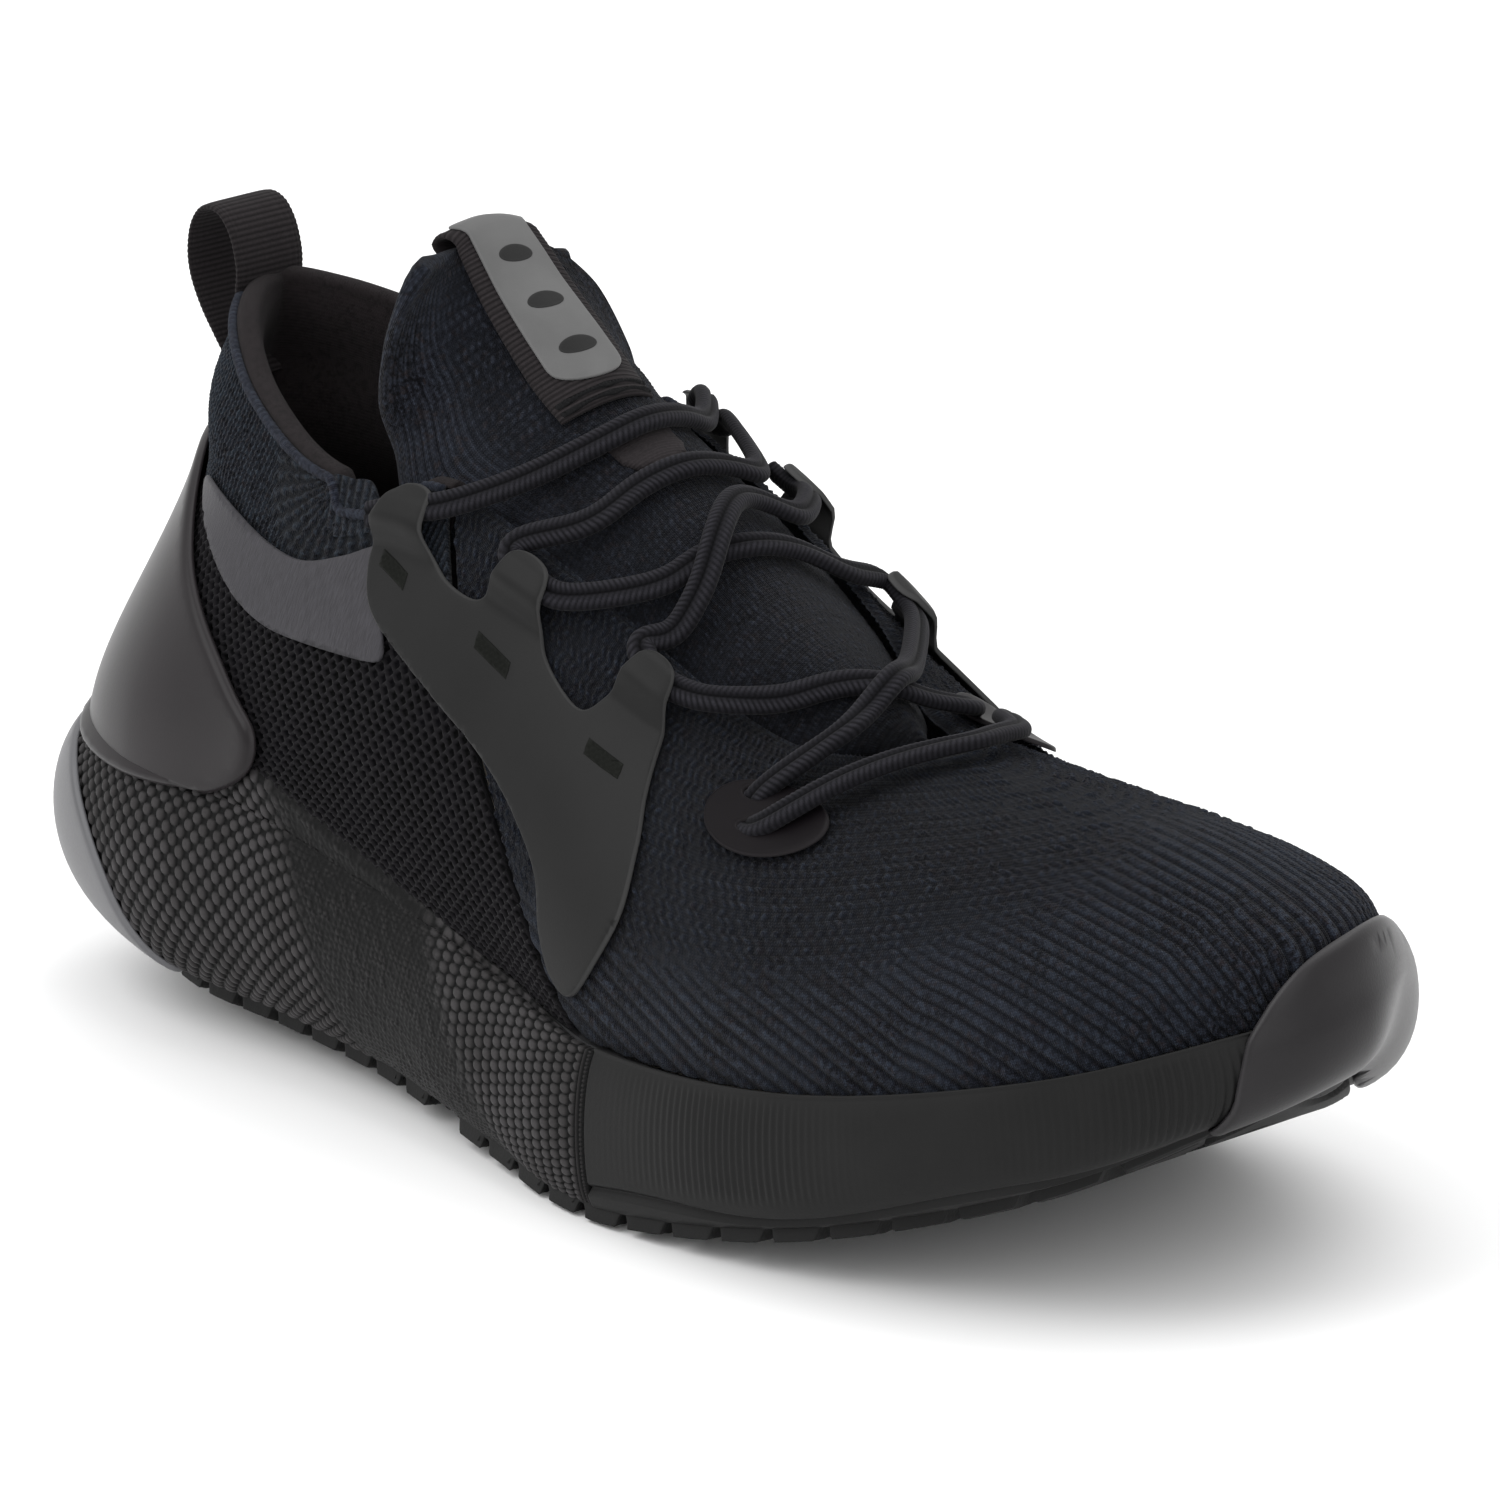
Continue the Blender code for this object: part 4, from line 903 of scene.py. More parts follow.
def vamp_knit(mats):
    dist = along(upper_at, 3.5, 16.5, 0.12)      # measures the flat map
    mid = along(upper_at, 3.5, 16.5, 0.75)

    def warp(a, w):
        s = split_line(w) + 0.03
        return s + (N - 2 * s) * a, w

    def pattern(t, w):
        fade = vamp_fade(t, w)
        place = upper_at(t, w)
        phase = rib_lines(place) / 2.55
        row = np.floor(phase + 0.5)
        stitch = place[:, 0] / 1.5 + 0.37 * row
        seed = 0.5 + 0.5 * np.sin(np.floor(stitch) * 12.9898 + row * 78.233)
        bars = (ribs(phase, 0.7) * (0.75 + 0.25 * ribs(2 * phase + 0.5))
                * (0.55 + 0.2 * ribs(stitch, 0.7) + 0.25 * seed))
        return bars * fade + chevrons(mid(t), w * VAMP_TALL) * (1 - fade)

    def outer(t, w):
        return 0.75 * pattern(t, w) - 0.45 - 1.2 * smooth01((w - 0.975) / 0.025)
    ob = shell("vamp_ribbed_knit", mats["vamp"], upper_at, np.linspace(0, 1, int(330 / DENSE)),
               np.linspace(0, 1, int(60 / DENSE)), outer, -1.4,
               lambda t, w: (dist(t), w * VAMP_TALL), shape=warp, relief=pattern)
    attach(ob, "vamp", "shoe", "vamp_knit")


def quarter_meshes(mats):
    dist = along(upper_at, 0.0, 6.0, 0.35)

    def flat(t, w):
        return dist(side_distance(t)), w * 86.0

    def pattern(t, w):
        return net(*flat(t, w), 2.4, 1.9)
    for side, medial in (("lateral", False), ("medial", True)):
        def station(a, w, medial=medial):
            d = 0.04 + (split_line(w) - 0.07) * a
            return N - d if medial else d, w
        ob = shell("quarter_net_" + side, mats["mesh"], upper_at,
                   np.linspace(0, 1, int(122 / DENSE)), np.linspace(0, 0.69, int(58 / DENSE)),
                   lambda t, w: 0.75 * pattern(t, w) - 0.6, -1.4, flat, shape=station,
                   relief=pattern)
        attach(ob, "mesh", "shoe", "quarter_mesh_" + side)


def collar_depth(t, w):
    """Depth of the collar padding behind the ankle."""
    d = side_distance(t)
    swell = np.exp(-((d - 2.0) / 1.15) ** 2)
    up = np.clip(np.sin(math.pi * np.clip((w - 0.5) / 0.5, 0, 1)), 0, 1) ** 0.8
    return up * (1.6 + 3.6 * swell)


def dip(t):
    """How far the opening drops between the collar corner and the first lace tunnel."""
    d = side_distance(t)
    return 0.08 * smooth01((d - 3.02) / 0.28) * smooth01((3.86 - d) / 0.3)


def lining_at(t, q):
    """Collar roll and lining: q 0-0.2 goes over the rim, then down inside the shoe."""
    one = 1 - dip(t)
    turn = np.clip(q / 0.2, 0, 1) * math.pi
    rim, n = upper_at(t, one), normal_of(upper_at, t, one)
    rise = unit(rim - upper_at(t, one - 0.03))
    roll = rim + n * (-2.4 + 2.0 * np.cos(turn))[:, None] + rise * (2.0 * np.sin(turn))[:, None]
    w = one * (1 - np.clip((q - 0.2) / 0.8, 0, 1) * 0.97)
    down = lifted(upper_at, t, w, -4.4 - collar_depth(t, w))
    k = smooth01((q - 0.17) / 0.05)[:, None]
    return roll * (1 - k) + down * k


FAN_AT = 3.2           # station of the collar corner the ribs fan out from


def collar(mats):
    dist = along(upper_at, -4.6, 4.6, 0.88)

    def flat(t, w):
        return dist(signed(t)), w * COLLAR_TALL

    def place(a, w):
        s = split_line(w) - 0.04
        t = -s + 2 * s * a
        return t, w - dip(t) * (w - 0.7) / 0.292

    def pattern(t, w):
        """Straight fine ribs behind, ribs fanning out from the front corner of the collar."""
        d = signed(t)
        x, y = dist(d) - np.where(d < 0, dist(-FAN_AT), dist(FAN_AT)), (1.03 - w) * COLLAR_TALL
        r, turn = np.hypot(x, y), np.arctan2(x, y) / 0.16
        fan = ribs(turn, 0.8)
        ladder = ribs(r / 2.3 + 0.5 * (np.floor(turn + 0.5) % 2), 0.7)
        # Pores are openings between the fanned ribs; their low relief also gives them painted
        # shade.
        pores = (1 - fan) * ladder * smooth01((r - 11) / 2) * smooth01((21 - r) / 3)
        straight = ribs(dist(d) / 1.3, 0.9) * (0.75 + 0.25 * ribs(y / 1.1))
        k = smooth01((23 - r) / 6)
        return np.clip(straight * (1 - k) + fan * k * (1 - 0.5 * ladder) - 0.6 * pores * k, 0, 1)
    ob = shell("collar_ribbed_knit", mats["collar"], upper_at,
               np.linspace(0, 1, int(190 / DENSE)), np.linspace(0.70, RIM_AT, int(30 / DENSE)),
               lambda t, w: 0.75 * pattern(t, w) - 0.45, -1.3, flat, shape=place, relief=pattern)
    attach(ob, "collar", "shoe", "collar_knit")

    def creases(t, q):
        wave = np.sin(signed(t) * 9.0) * np.exp(-((np.abs(signed(t)) - 2.6) / 0.7) ** 2)
        return 0.5 * wave * smooth01((q - 0.2) / 0.1) * smooth01((0.6 - q) / 0.2)
    ob = shell("collar_lining_pad", mats["lining"], lining_at, even(upper_at, -4.0, 4.0, 0.98, 0.8),
               np.concatenate([np.linspace(0, 0.24, 24), np.linspace(0.25, 1, 90)]),
               creases, -0.8, lambda t, q: (dist(signed(t)), q * 110.0), relief=1)
    attach(ob, "lining", "shoe", "collar_lining", "collar_foam")

    t = even(upper_at, -3.96, 3.96, 0.98, 0.6)
    path = lifted(upper_at, t, RIM_AT - dip(t), np.full(len(t), 0.15))
    out = normal_of(upper_at, t, np.full(len(t), 0.99))
    s = np.linspace(0, dist(3.96) - dist(-3.96), len(t))
    attach(sweep("collar_rim_cord", mats["rim"], path, out, s, rim_section), "collar", "shoe")

    def fan(t, w):
        return ribs((dist(signed(t)) + (w - 1) * 30.0 * np.sign(signed(t))) / 1.9, 0.9)
    for side, front, back in (("lateral", 3.05, 4.0), ("medial", 16.95, 16.0)):
        def peak(t, w, front=front, back=back):
            """The flap is tall at the collar corner and dies out under the film."""
            tall = np.exp(-(((t - front) / (back - front) - 0.28) / 0.24) ** 2)
            return t, 0.97 - dip(t) + (w - 0.97) * (0.12 + 0.88 * tall)
        flap = even(upper_at, *sorted((front, back)), 1.0, DENSE)
        ob = shell("gusset_flap_" + side, mats["collar"], upper_at, flap,
                   np.linspace(0.93, 1.085, 50), lambda t, w: 0.4 * fan(t, w) - 0.2, -0.9, flat,
                   shape=peak, relief=fan)
        attach(ob, "collar", "shoe", "gusset_" + side)


BAND = [(1.64, 0.755), (1.68, 0.71), (2.18, 0.652), (2.8, 0.592), (3.3, 0.585), (3.98, 0.61),
        (3.99, 0.68), (3.82, 0.76), (3.74, 0.845), (3.5, 0.812), (3.2, 0.776), (2.88, 0.77),
        (2.28, 0.778), (1.85, 0.775)]
EYESTAY = [(3.72, 0.80), (3.90, 0.70), (4.40, 0.62), (4.88, 0.56), (5.25, 0.49), (5.52, 0.40),
           (5.60, 0.27), (5.70, 0.165), (5.85, 0.14), (6.03, 0.25), (6.22, 0.43), (6.24, 0.60),
           (6.16, 0.72), (6.04, 0.87), (5.93, 0.955), (5.70, 0.965), (5.60, 0.86), (5.48, 0.785),
           (5.22, 0.80), (5.04, 0.85), (4.96, 0.955), (4.72, 0.965), (4.62, 0.88), (4.52, 0.835),
           (4.28, 0.84), (4.10, 0.89), (4.02, 0.97), (3.80, 0.975), (3.70, 0.90)]
FINGERS = (3.88, 4.83, 5.82)      # stations of the three lace tunnels
PATCH_RISE = {"lateral": 0.0, "medial": 0.075}     # the inner patch sits nearer the crown
# pressed textures below the tunnels, each from one end to the other
EMBOSS = ((3.80, 0.825, 4.04, 0.795), (4.64, 0.768, 4.92, 0.75), (5.62, 0.73, 5.92, 0.73))


def mirrored(outline):
    """The same outline on the inner side of the shoe."""
    return [(N - u, v) for u, v in reversed(outline)]


def crisp(corners):
    """Extra points beside each corner, so that rounding leaves only a small radius."""
    out = []
    for k, (u, v) in enumerate(corners):
        for other in (corners[k - 1], corners[(k + 1) % len(corners)]):
            out.append((u + (other[0] - u) * 0.1, v + (other[1] - v) * 0.1))
    return out


def finger_rise(u, v):
    """The finger tips stand off the knit to leave a tunnel for the lace."""
    u = np.where(u > N / 2, N - u, u)
    tip = np.zeros(len(u))
    for c in FINGERS:
        tip = np.maximum(tip, np.exp(-((u - c) / 0.34) ** 4))
    k = smooth01((v - 0.845) / 0.06)
    return tip * k * (4.2 - 1.2 * smooth01((v - 0.945) / 0.03))


def pressed(x, y, d):
    """Fine waffle texture that dies out at the edge of its patch."""
    return 0.2 * np.sin(x * 5.2) * np.sin(y * 5.2) * smooth01(d / 0.4)


def overlays(mats):
    for side, flip in (("lateral", list), ("medial", mirrored)):
        ob = film("collar_band_film_" + side, mats["band"], flip(BAND), upper_at, OVER, 0.6,
                  bevel=0.5, step=1.0)
        attach(ob, "band", "shoe", "collar_band_" + side)
        ob = film("eyestay_film_" + side, mats["film"], flip(EYESTAY), upper_at, OVER, 0.85,
                  bevel=0.5, step=0.9, lift=finger_rise, per=8)
        attach(ob, "film", "shoe", "eyestay_" + side)
        cuts = (oval(7.06, 0.765, 0.43, 0.10, 12), oval(7.02, 0.738, 0.10, 0.017, 8),
                oval(6.98, 0.826, 0.10, 0.017, 8))
        patch, *slits = [[(u, v + PATCH_RISE[side]) for u, v in flip(lp)] for lp in cuts]
        ob = film("eyelet_patch_film_" + side, mats["tpu"], patch, upper_at, OVER, 0.8,
                  step=0.8, holes=slits)
        attach(ob, "tpu", "shoe", "eyelet_patch_" + side)
        for i, (t0, w0, t1, w1) in enumerate(EMBOSS):
            box = crisp([(t0, w0 + 0.019), (t1, w1 + 0.019), (t1 + 0.01, w1 - 0.017),
                         (t0 + 0.01, w0 - 0.017)])
            ob = film(f"eyestay_emboss_{side}_{i + 1}", mats["emboss"], flip(box), upper_at,
                      OVER + 0.8, 0.22, bevel=0.15, step=0.35, per=2, lift=finger_rise,
                      relief=pressed)
            attach(ob, "film", "shoe")


def counter_shell(mats):
    half = [(0.6, -0.04), (1.5, -0.10), (2.3, -0.06), (2.72, 0.03), (3.06, 0.18), (3.12, 0.30),
            (2.92, 0.38), (2.6, 0.48), (2.14, 0.58), (1.6, 0.66), (0.8, 0.72)]
    other = [(-u, v) for u, v in reversed(half)]
    outline = [*other[-4:], *half, (0, 0.735), *other[:-4]]

    def badge(x, y, d):
        """A plain raised oval on the back of the heel."""
        return 1.1 * smooth01((1 - np.sqrt((x / 7.0) ** 2 + ((y - 26.0) / 13.0) ** 2)) / 0.45)
    ob = film("heel_counter_shell", mats["counter"], outline, over_at, 1.0, 1.7, bevel=2.0,
              step=1.3, relief=badge)
    attach(ob, "counter", "shoe", "heel_counter")


# ---------------------------------------------------------------- tongue
def tongue(mats):
    run = run_length(T_TAB[:, 1])
    wide = 44.0           # of the flat map
    grid = np.linspace(0, 1, 60)
    arc = run_length(tongue_at(np.full(60, 3.0), grid))

    def mm(s, k):
        return np.interp(s, grid, arc), np.interp(k, np.arange(len(run)), run)

    def border(s, k):
        """Millimetres from the nearest side or the free top edge."""
        x, y = s * wide, mm(s, k)[1]
        w = np.interp(k, (0, 1, 6, 8, 10), (30, 44, 40, 26, 8)) / wide
        return np.minimum(np.minimum(x, wide - x) * w, y)

    def pattern(s, k):
        x, y = mm(s, k)
        side = smooth01((np.abs(s - 0.5) - 0.27) / 0.1) * smooth01((6.5 - k) / 2)
        return ribs(x / 1.55, 0.9) * side + chevrons(x, y) * (1 - side)

    def thick(k):
        return np.interp(k, (0, 4.5, 6.5, 8), (3.6, 3.2, 1.8, 1.4))

    def roll(s, k):
        """How far either face closes in at the rolled edge."""
        return 0.5 * thick(k) * (1 - dome(border(s, k) / 2.0))
    ob = shell("tongue_knit", mats["tongue"], tucked_face, np.linspace(0, 1, int(46 / DENSE)),
               np.linspace(0, 9.93, int(132 / DENSE)),
               lambda s, k: 0.32 * pattern(s, k) - 0.1 - roll(s, k),
               lambda s, k: roll(s, k) - thick(k) - 0.2, mm, back_rows=60, relief=pattern)
    attach(ob, "tongue", None, "tongue_top", "tongue_lower")
    ends = tongue_at(np.array([6.1, 4.5]), np.array([0.5, 0.5])) * MM
    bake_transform(ob)


TAB_WIDE = 16.8         # webbing tab folded over the tongue edge, millimetres


def on_tongue(k, s, off):
    return lifted(tongue_face, np.array([float(s)]), np.array([float(k)]), np.array([off]))[0]


def strap(name, mat, path, across, wide, thick, pitch):
    """Ribbed webbing along a path; across is the width direction at each point."""
    pts, s, side = resample(path, detail(0.22, 0.5), across)
    return sweep(name, mat, pts, np.cross(side, np.gradient(pts, axis=0)), s,
                 ribbon_section(wide, thick, pitch))


def ribbon_section(wide, thick, pitch):
    """Rounded-edge ribbon whose faces carry fine cross ribs."""
    def section(s):
        a = circle(48)
        n = np.sin(a)
        x, y = power(np.cos(a), 0.35) * wide / 2, power(n, 0.55) * thick / 2
        rib = ribs(s / pitch, 0.8)
        side = np.tile(x, (len(s), 1)) + np.sign(x) * 0.06 * (rib[:, None] - 0.5)
        high = y[None, :] + 0.10 * (rib[:, None] - 0.5) * np.sign(n)[None, :]
        return side, high, np.tile(rib[:, None], (1, len(a)))
    return section


def rim_section(s):
    """Round cord 1.7 mm wide with a slight twist; the third value, high on the twist's crests,
    gives painted shade between them.
    """
    radius, wobble = 0.85, 0.08
    a = circle(14)
    r = radius + wobble * np.sin(2 * math.pi * s[:, None] / 1.2 + a[None, :])
    return r * np.cos(a), r * np.sin(a), 0.5 + 0.5 * (r - radius) / wobble


def tab_surface():
    """Middle of the tab webbing: u across and v up the tongue and over its edge, millimetres."""
    per, cells = 12, 32

    def across(k, c):
        a, b = tongue_at(np.array([k, k]), np.array([0.49, 0.51]))
        return 0.5 + TAB_WIDE * c * 0.02 / np.linalg.norm(b - a)
    columns = []
    for c in np.linspace(-0.5, 0.5, cells + 1):
        path = [on_tongue(k, across(k, c), 1.0) for k in (5.08, 4.3, 3.4, 2.6, 1.8, 1.0, 0.4)]
        for up, off in ((1.2, 0.9), (2.4, -0.1), (2.8, -1.7), (2.1, -3.6), (0.8, -4.7)):
            path.append(on_tongue(0.02, across(0.02, c), off) + np.array([-0.75, 0, 0.66]) * up)
        path += [on_tongue(k, across(k, c), -4.8) for k in (0.35, 1.0, 1.8)]
        columns.append(rounded(np.array(path), per, closed=False))
    g = np.stack(columns, 1)
    cum = run_length(g[:, cells // 2])

    def face(u, v):
        r = np.clip(np.interp(v, cum, np.arange(len(cum))), 0, len(cum) - 1.001)
        q = np.clip((np.asarray(u, float) / TAB_WIDE + 0.5) * cells, 0, cells - 0.001)
        i, j = np.floor(r).astype(int), np.floor(q).astype(int)
        a, b = (r - i)[:, None], (q - j)[:, None]
        return ((g[i, j] * (1 - b) + g[i, j + 1] * b) * (1 - a)
                + (g[i + 1, j] * (1 - b) + g[i + 1, j + 1] * b) * a)
    return face, cum[-1], cum[per * 9]


def tongue_trim(mats):
    face, length, crest = tab_surface()
    half = TAB_WIDE / 2

    def rib(u, v):
        return ribs(v / 0.95, 0.8)

    def edge(u, v):
        d = np.minimum(half - np.abs(u), np.minimum(v, length - v))
        f = np.clip(1 - d / 0.6, 0, 1)
        return 0.5 * np.sqrt(np.clip(1 - f * f, 0.02, 1)) + 0.08 * (rib(u, v) - 0.5)
    ob = shell("tongue_tab_strap", mats["webbing"], face, np.linspace(-half, half, 60),
               np.linspace(0.05, length - 0.05, int(length / detail(0.19, 0.4))), edge,
               lambda u, v: -edge(u, v), lambda u, v: (u, v), back_rows=80, relief=rib)
    attach(ob, "webbing", "tongue", "tongue_tab_webbing")
    wide, foot, corner = TAB_WIDE * 0.345, 4.9, 4.6
    end = [(-wide * math.cos(a), foot + corner - corner * math.sin(a))
           for a in (math.pi * i / 8 for i in range(9))]
    rows = np.linspace(foot + 7.5, crest, 8)
    strip = [*[(-wide, v) for v in rows[::-1]], *end, *[(wide, v) for v in rows]]
    attach(film("tongue_tab_label_strip", mats["strip"], strip, face, 0.62, 0.45, bevel=0.35,
                step=0.9), "strip", "tongue", "tongue_tab_strip")
    for i, v in enumerate((foot + 7, foot + 17, foot + 27)):
        attach(film(f"tongue_tab_print_{i + 1}", mats["print"], oval(0, v, 2.9, 1.7, 12), face,
                    1.06, 0.12, bevel=0.08, step=0.6, per=3), "strip", "tongue")

    def zigzag(x, y, d):
        return 0.14 * np.sin(2 * math.pi * (x + 0.5 * np.abs(y % 1.5 - 0.75)) / 0.62)
    for i, v in enumerate((1.2, 3.0)):
        x = half - 0.8
        bar = crisp([(-x, v - 0.6), (x, v - 0.6), (x, v + 0.6), (-x, v + 0.6)])
        attach(film(f"tongue_tab_bartack_{i + 1}", mats["thread"], bar, face, 0.45, 0.3,
                    bevel=0.25, step=0.22, per=2, relief=zigzag), "webbing", "tongue")
    label = [(0.36, 5.42), (0.62, 5.42), (0.62, 5.84), (0.36, 5.84)]
    attach(film("tongue_woven_label", mats["webbing"], label, tongue_face, 0.35, 0.5, bevel=0.2,
                step=0.8, per=3), "webbing", "shoe", "tongue_label")


def pull_loop(mats):
    route = [(x + SHIFT_X, SHIFT_Y, z) for x, z in (
        (31.5, 103), (29.6, 107), (26.9, 110.6), (24.4, 113.9), (22.5, 117.2), (21.3, 120.4),
        (21.0, 124), (22.0, 128.3), (24.3, 131.4), (27.2, 132.5), (30.2, 131.7), (32.4, 129.3),
        (33.6, 126.2), (34.1, 122.8), (33.6, 119.3), (32.8, 116.2))]
    ob = strap("heel_loop_strap", mats["webbing"], route, [(0, 1, 0)] * len(route), 14.0, 1.1, 0.95)
    attach(ob, "webbing", None, "heel_pull_loop", "loop_leg_outer", "loop_leg_inner")
    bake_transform(ob)


# ---------------------------------------------------------------- lace
def lace_route():
    """Listed route: (point, outward direction) pairs in millimetres."""
    out = []

    def tg(k, s, off):
        u, v = np.array([float(s)]), np.array([float(k)])
        n = normal_of(tongue_face, u, v)[0]
        out.append((tongue_face(u, v)[0] + n * off, n))

    def up(t, w, off):
        u, v = np.array([float(t)]), np.array([float(w)])
        n = normal_of(upper_at, u, v)[0]
        out.append((upper_at(u, v)[0] + n * off, n))
    up(3.58, 0.905, 2.4), up(3.86, 0.935, 2.7), up(4.12, 0.96, 3.6)
    tg(5.40, 0.12, 4.8), tg(5.50, 0.33, 2.6), tg(5.50, 0.5, 2.6), tg(5.44, 0.7, 2.6)
    tg(5.38, 0.86, 4.6), up(15.93, 1.0, 4.4), up(16.06, 0.95, 2.9)
    up(15.86, 0.93, 3.2), up(15.76, 0.97, 4.0)
    tg(5.92, 0.88, 5.0), tg(6.02, 0.7, 2.6), tg(6.04, 0.5, 2.6), tg(5.98, 0.3, 2.6)
    tg(5.92, 0.12, 4.8), up(4.62, 0.96, 3.6), up(4.83, 0.935, 2.9), up(5.08, 0.94, 3.0)
    tg(6.50, 0.12, 4.6), tg(6.60, 0.3, 2.6), tg(6.72, 0.5, 2.6), tg(6.74, 0.72, 2.6)
    tg(6.80, 0.90, 4.8), up(14.36, 0.94, 3.0), up(14.17, 0.935, 2.9), up(13.94, 0.95, 3.0)
    tg(8.15, 0.76, 4.4), tg(8.68, 0.47, 5.4), tg(8.82, 0.24, 5.6)
    up(7.75, 0.965, 5.8)
    up(7.45, 0.93, 4.0), up(7.2, 0.87, 3.2), up(7.0, 0.832, 0.8), up(6.9, 0.80, -1.2)
    up(6.9, 0.765, -1.2), up(7.03, 0.736, 0.8), up(7.25, 0.765, 3.0)
    up(7.6, 0.84, 3.4), up(8.1, 0.90, 3.2)
    up(9.0, 0.935, 3.0), up(10.0, 0.94, 3.0), up(11.0, 0.935, 3.0), up(11.9, 0.90, 3.2)
    up(12.5, 0.89, 3.0), up(12.8, 0.84, 2.6), up(12.98, 0.811, 0.8), up(13.1, 0.84, -1.2)
    up(13.1, 0.875, -1.2), up(13.0, 0.905, 0.8), up(12.75, 0.935, 2.6), up(12.45, 0.955, 3.2)
    tg(8.75, 0.75, 2.6), tg(8.55, 0.5, 2.4), tg(8.1, 0.28, 2.4), tg(7.75, 0.10, 4.6)
    up(6.28, 0.965, 3.6), up(6.08, 0.945, 3.1), up(5.82, 0.935, 2.9), up(5.58, 0.965, 3.6)
    tg(6.72, 0.03, 4.8), tg(6.76, 0.12, 5.0), tg(6.76, 0.22, 5.8), tg(6.62, 0.37, 6.6)
    tg(6.44, 0.53, 4.6)
    tg(6.36, 0.7, 3.2), tg(6.34, 0.88, 4.8), up(15.02, 0.965, 3.6), up(15.17, 0.935, 2.9)
    up(15.42, 0.93, 2.9)
    return np.array([p for p, _ in out]), np.array([n for _, n in out])


def lace_section(s):
    """Half-oval braid 4.8 mm wide with plaited edges and a groove between them."""
    a = circle(36)
    c, n = np.cos(a), np.sin(a)
    x, y = power(c, 0.8) * 2.35, power(n, 0.75) * np.where(n > 0, 1.5, 1.05)
    edge = np.exp(-((np.abs(x) - 1.5) / 0.5) ** 2)
    groove = np.exp(-(x / 0.38) ** 2) * (n > 0)
    tick = ribs((s[:, None] + 0.5 * np.abs(x)[None, :]) / 0.95 + 0.5 * (x > 0)[None, :], 0.8)
    # Painted shade: darker between the plaits, in the groove and on the underside.
    shade = 0.24 + 0.76 * tick * (0.35 + 0.65 * edge)
    shade = shade * (1 - 0.7 * groove) * np.where(n > -0.2, 1.0, 0.5)
    high = y - 0.45 * groove + 0.13 * edge * (tick - 0.4) * np.sign(n)
    side = np.tile(x, (len(s), 1)) + 0.05 * (tick - 0.5) * np.sign(x) * (np.abs(c) > 0.5)
    return side, high, shade


def lace(mats):
    p, n = lace_route()
    step = detail(0.24, 0.5)
    pts, _, up = resample(p, step, n)
    reach, sigma = 6.5, 2.3         # of the smoothing along the route, millimetres
    k = np.exp(-0.5 * (np.arange(-reach, reach + step, step) / sigma) ** 2)
    pad = len(k) // 2
    pts, up = (np.stack([np.convolve(np.pad(a[:, i], pad, "edge"), k / k.sum(), "same")[pad:-pad]
                         for i in range(3)], 1) for a in (pts, up))
    attach(sweep("lace_braid", mats["lace"], pts, up, run_length(pts), lace_section),
           "lace", "shoe", "lace")


# ---------------------------------------------------------------- footbed
def bowl_depth(k, f):
    side = 1 - (2 * f - 1) ** 4
    return -side * (9.0 * np.minimum(1, (1 - k) * 5 + 0.2) * np.minimum(1, k * 6 + 0.2))


def footbed_at(k, f):
    """Footbed hollow: k from heel (0) to toe (1), f from outer to inner side."""
    outer, inner = (around(U_TAB, t)[:, 0] - plan_normal(t) * 4.2 + np.array([0, 0, -3.4])
                    for t in (k * N / 2, N - k * N / 2))
    g = np.clip(f, 1 / 6, 5 / 6)
    drop = bowl_depth(k, g) * np.minimum(1.0, np.minimum(f * 6, (1 - f) * 6))
    return outer * (1 - f)[:, None] + inner * f[:, None] + drop[:, None] * np.array([0, 0, 1])


def footbed(mats):
    def sheet(u, v):
        return footbed_at(v, u)

    def soft(u, v):
        edge = np.minimum(np.minimum(u - 0.11, 0.89 - u) * 70,
                          np.minimum(v - 0.099, 0.906 - v) * 260)
        return 1 - dome(edge / 1.2)
    for name, mat, slot, lo, hi, node in (
            ("sockliner_pad", "insole_foam", "foam_soft", 1.8, 4.8, "sockliner_foam"),
            ("sockliner_fabric", "insole", "cover", 5.05, 5.9, "sockliner_cover")):
        ob = shell(name, mats[mat], sheet, np.linspace(0.115, 0.885, 60),
                   np.linspace(0.1, 0.905, 240), lambda u, v, h=hi: h - 0.4 * soft(u, v), lo,
                   lambda u, v: (u * 75.0, v * 270.0), back_rows=60, relief=1, edge=9)
        attach(ob, slot, "sockliner", node)


# ---------------------------------------------------------------- assembly
def attach(ob, slot, body, *nodes):
    """Body it moves with (or None), material slot (not used) and CAD nodes it replaces."""
    if body:
        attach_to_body(ob, body)
    if nodes:
        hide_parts(*nodes)


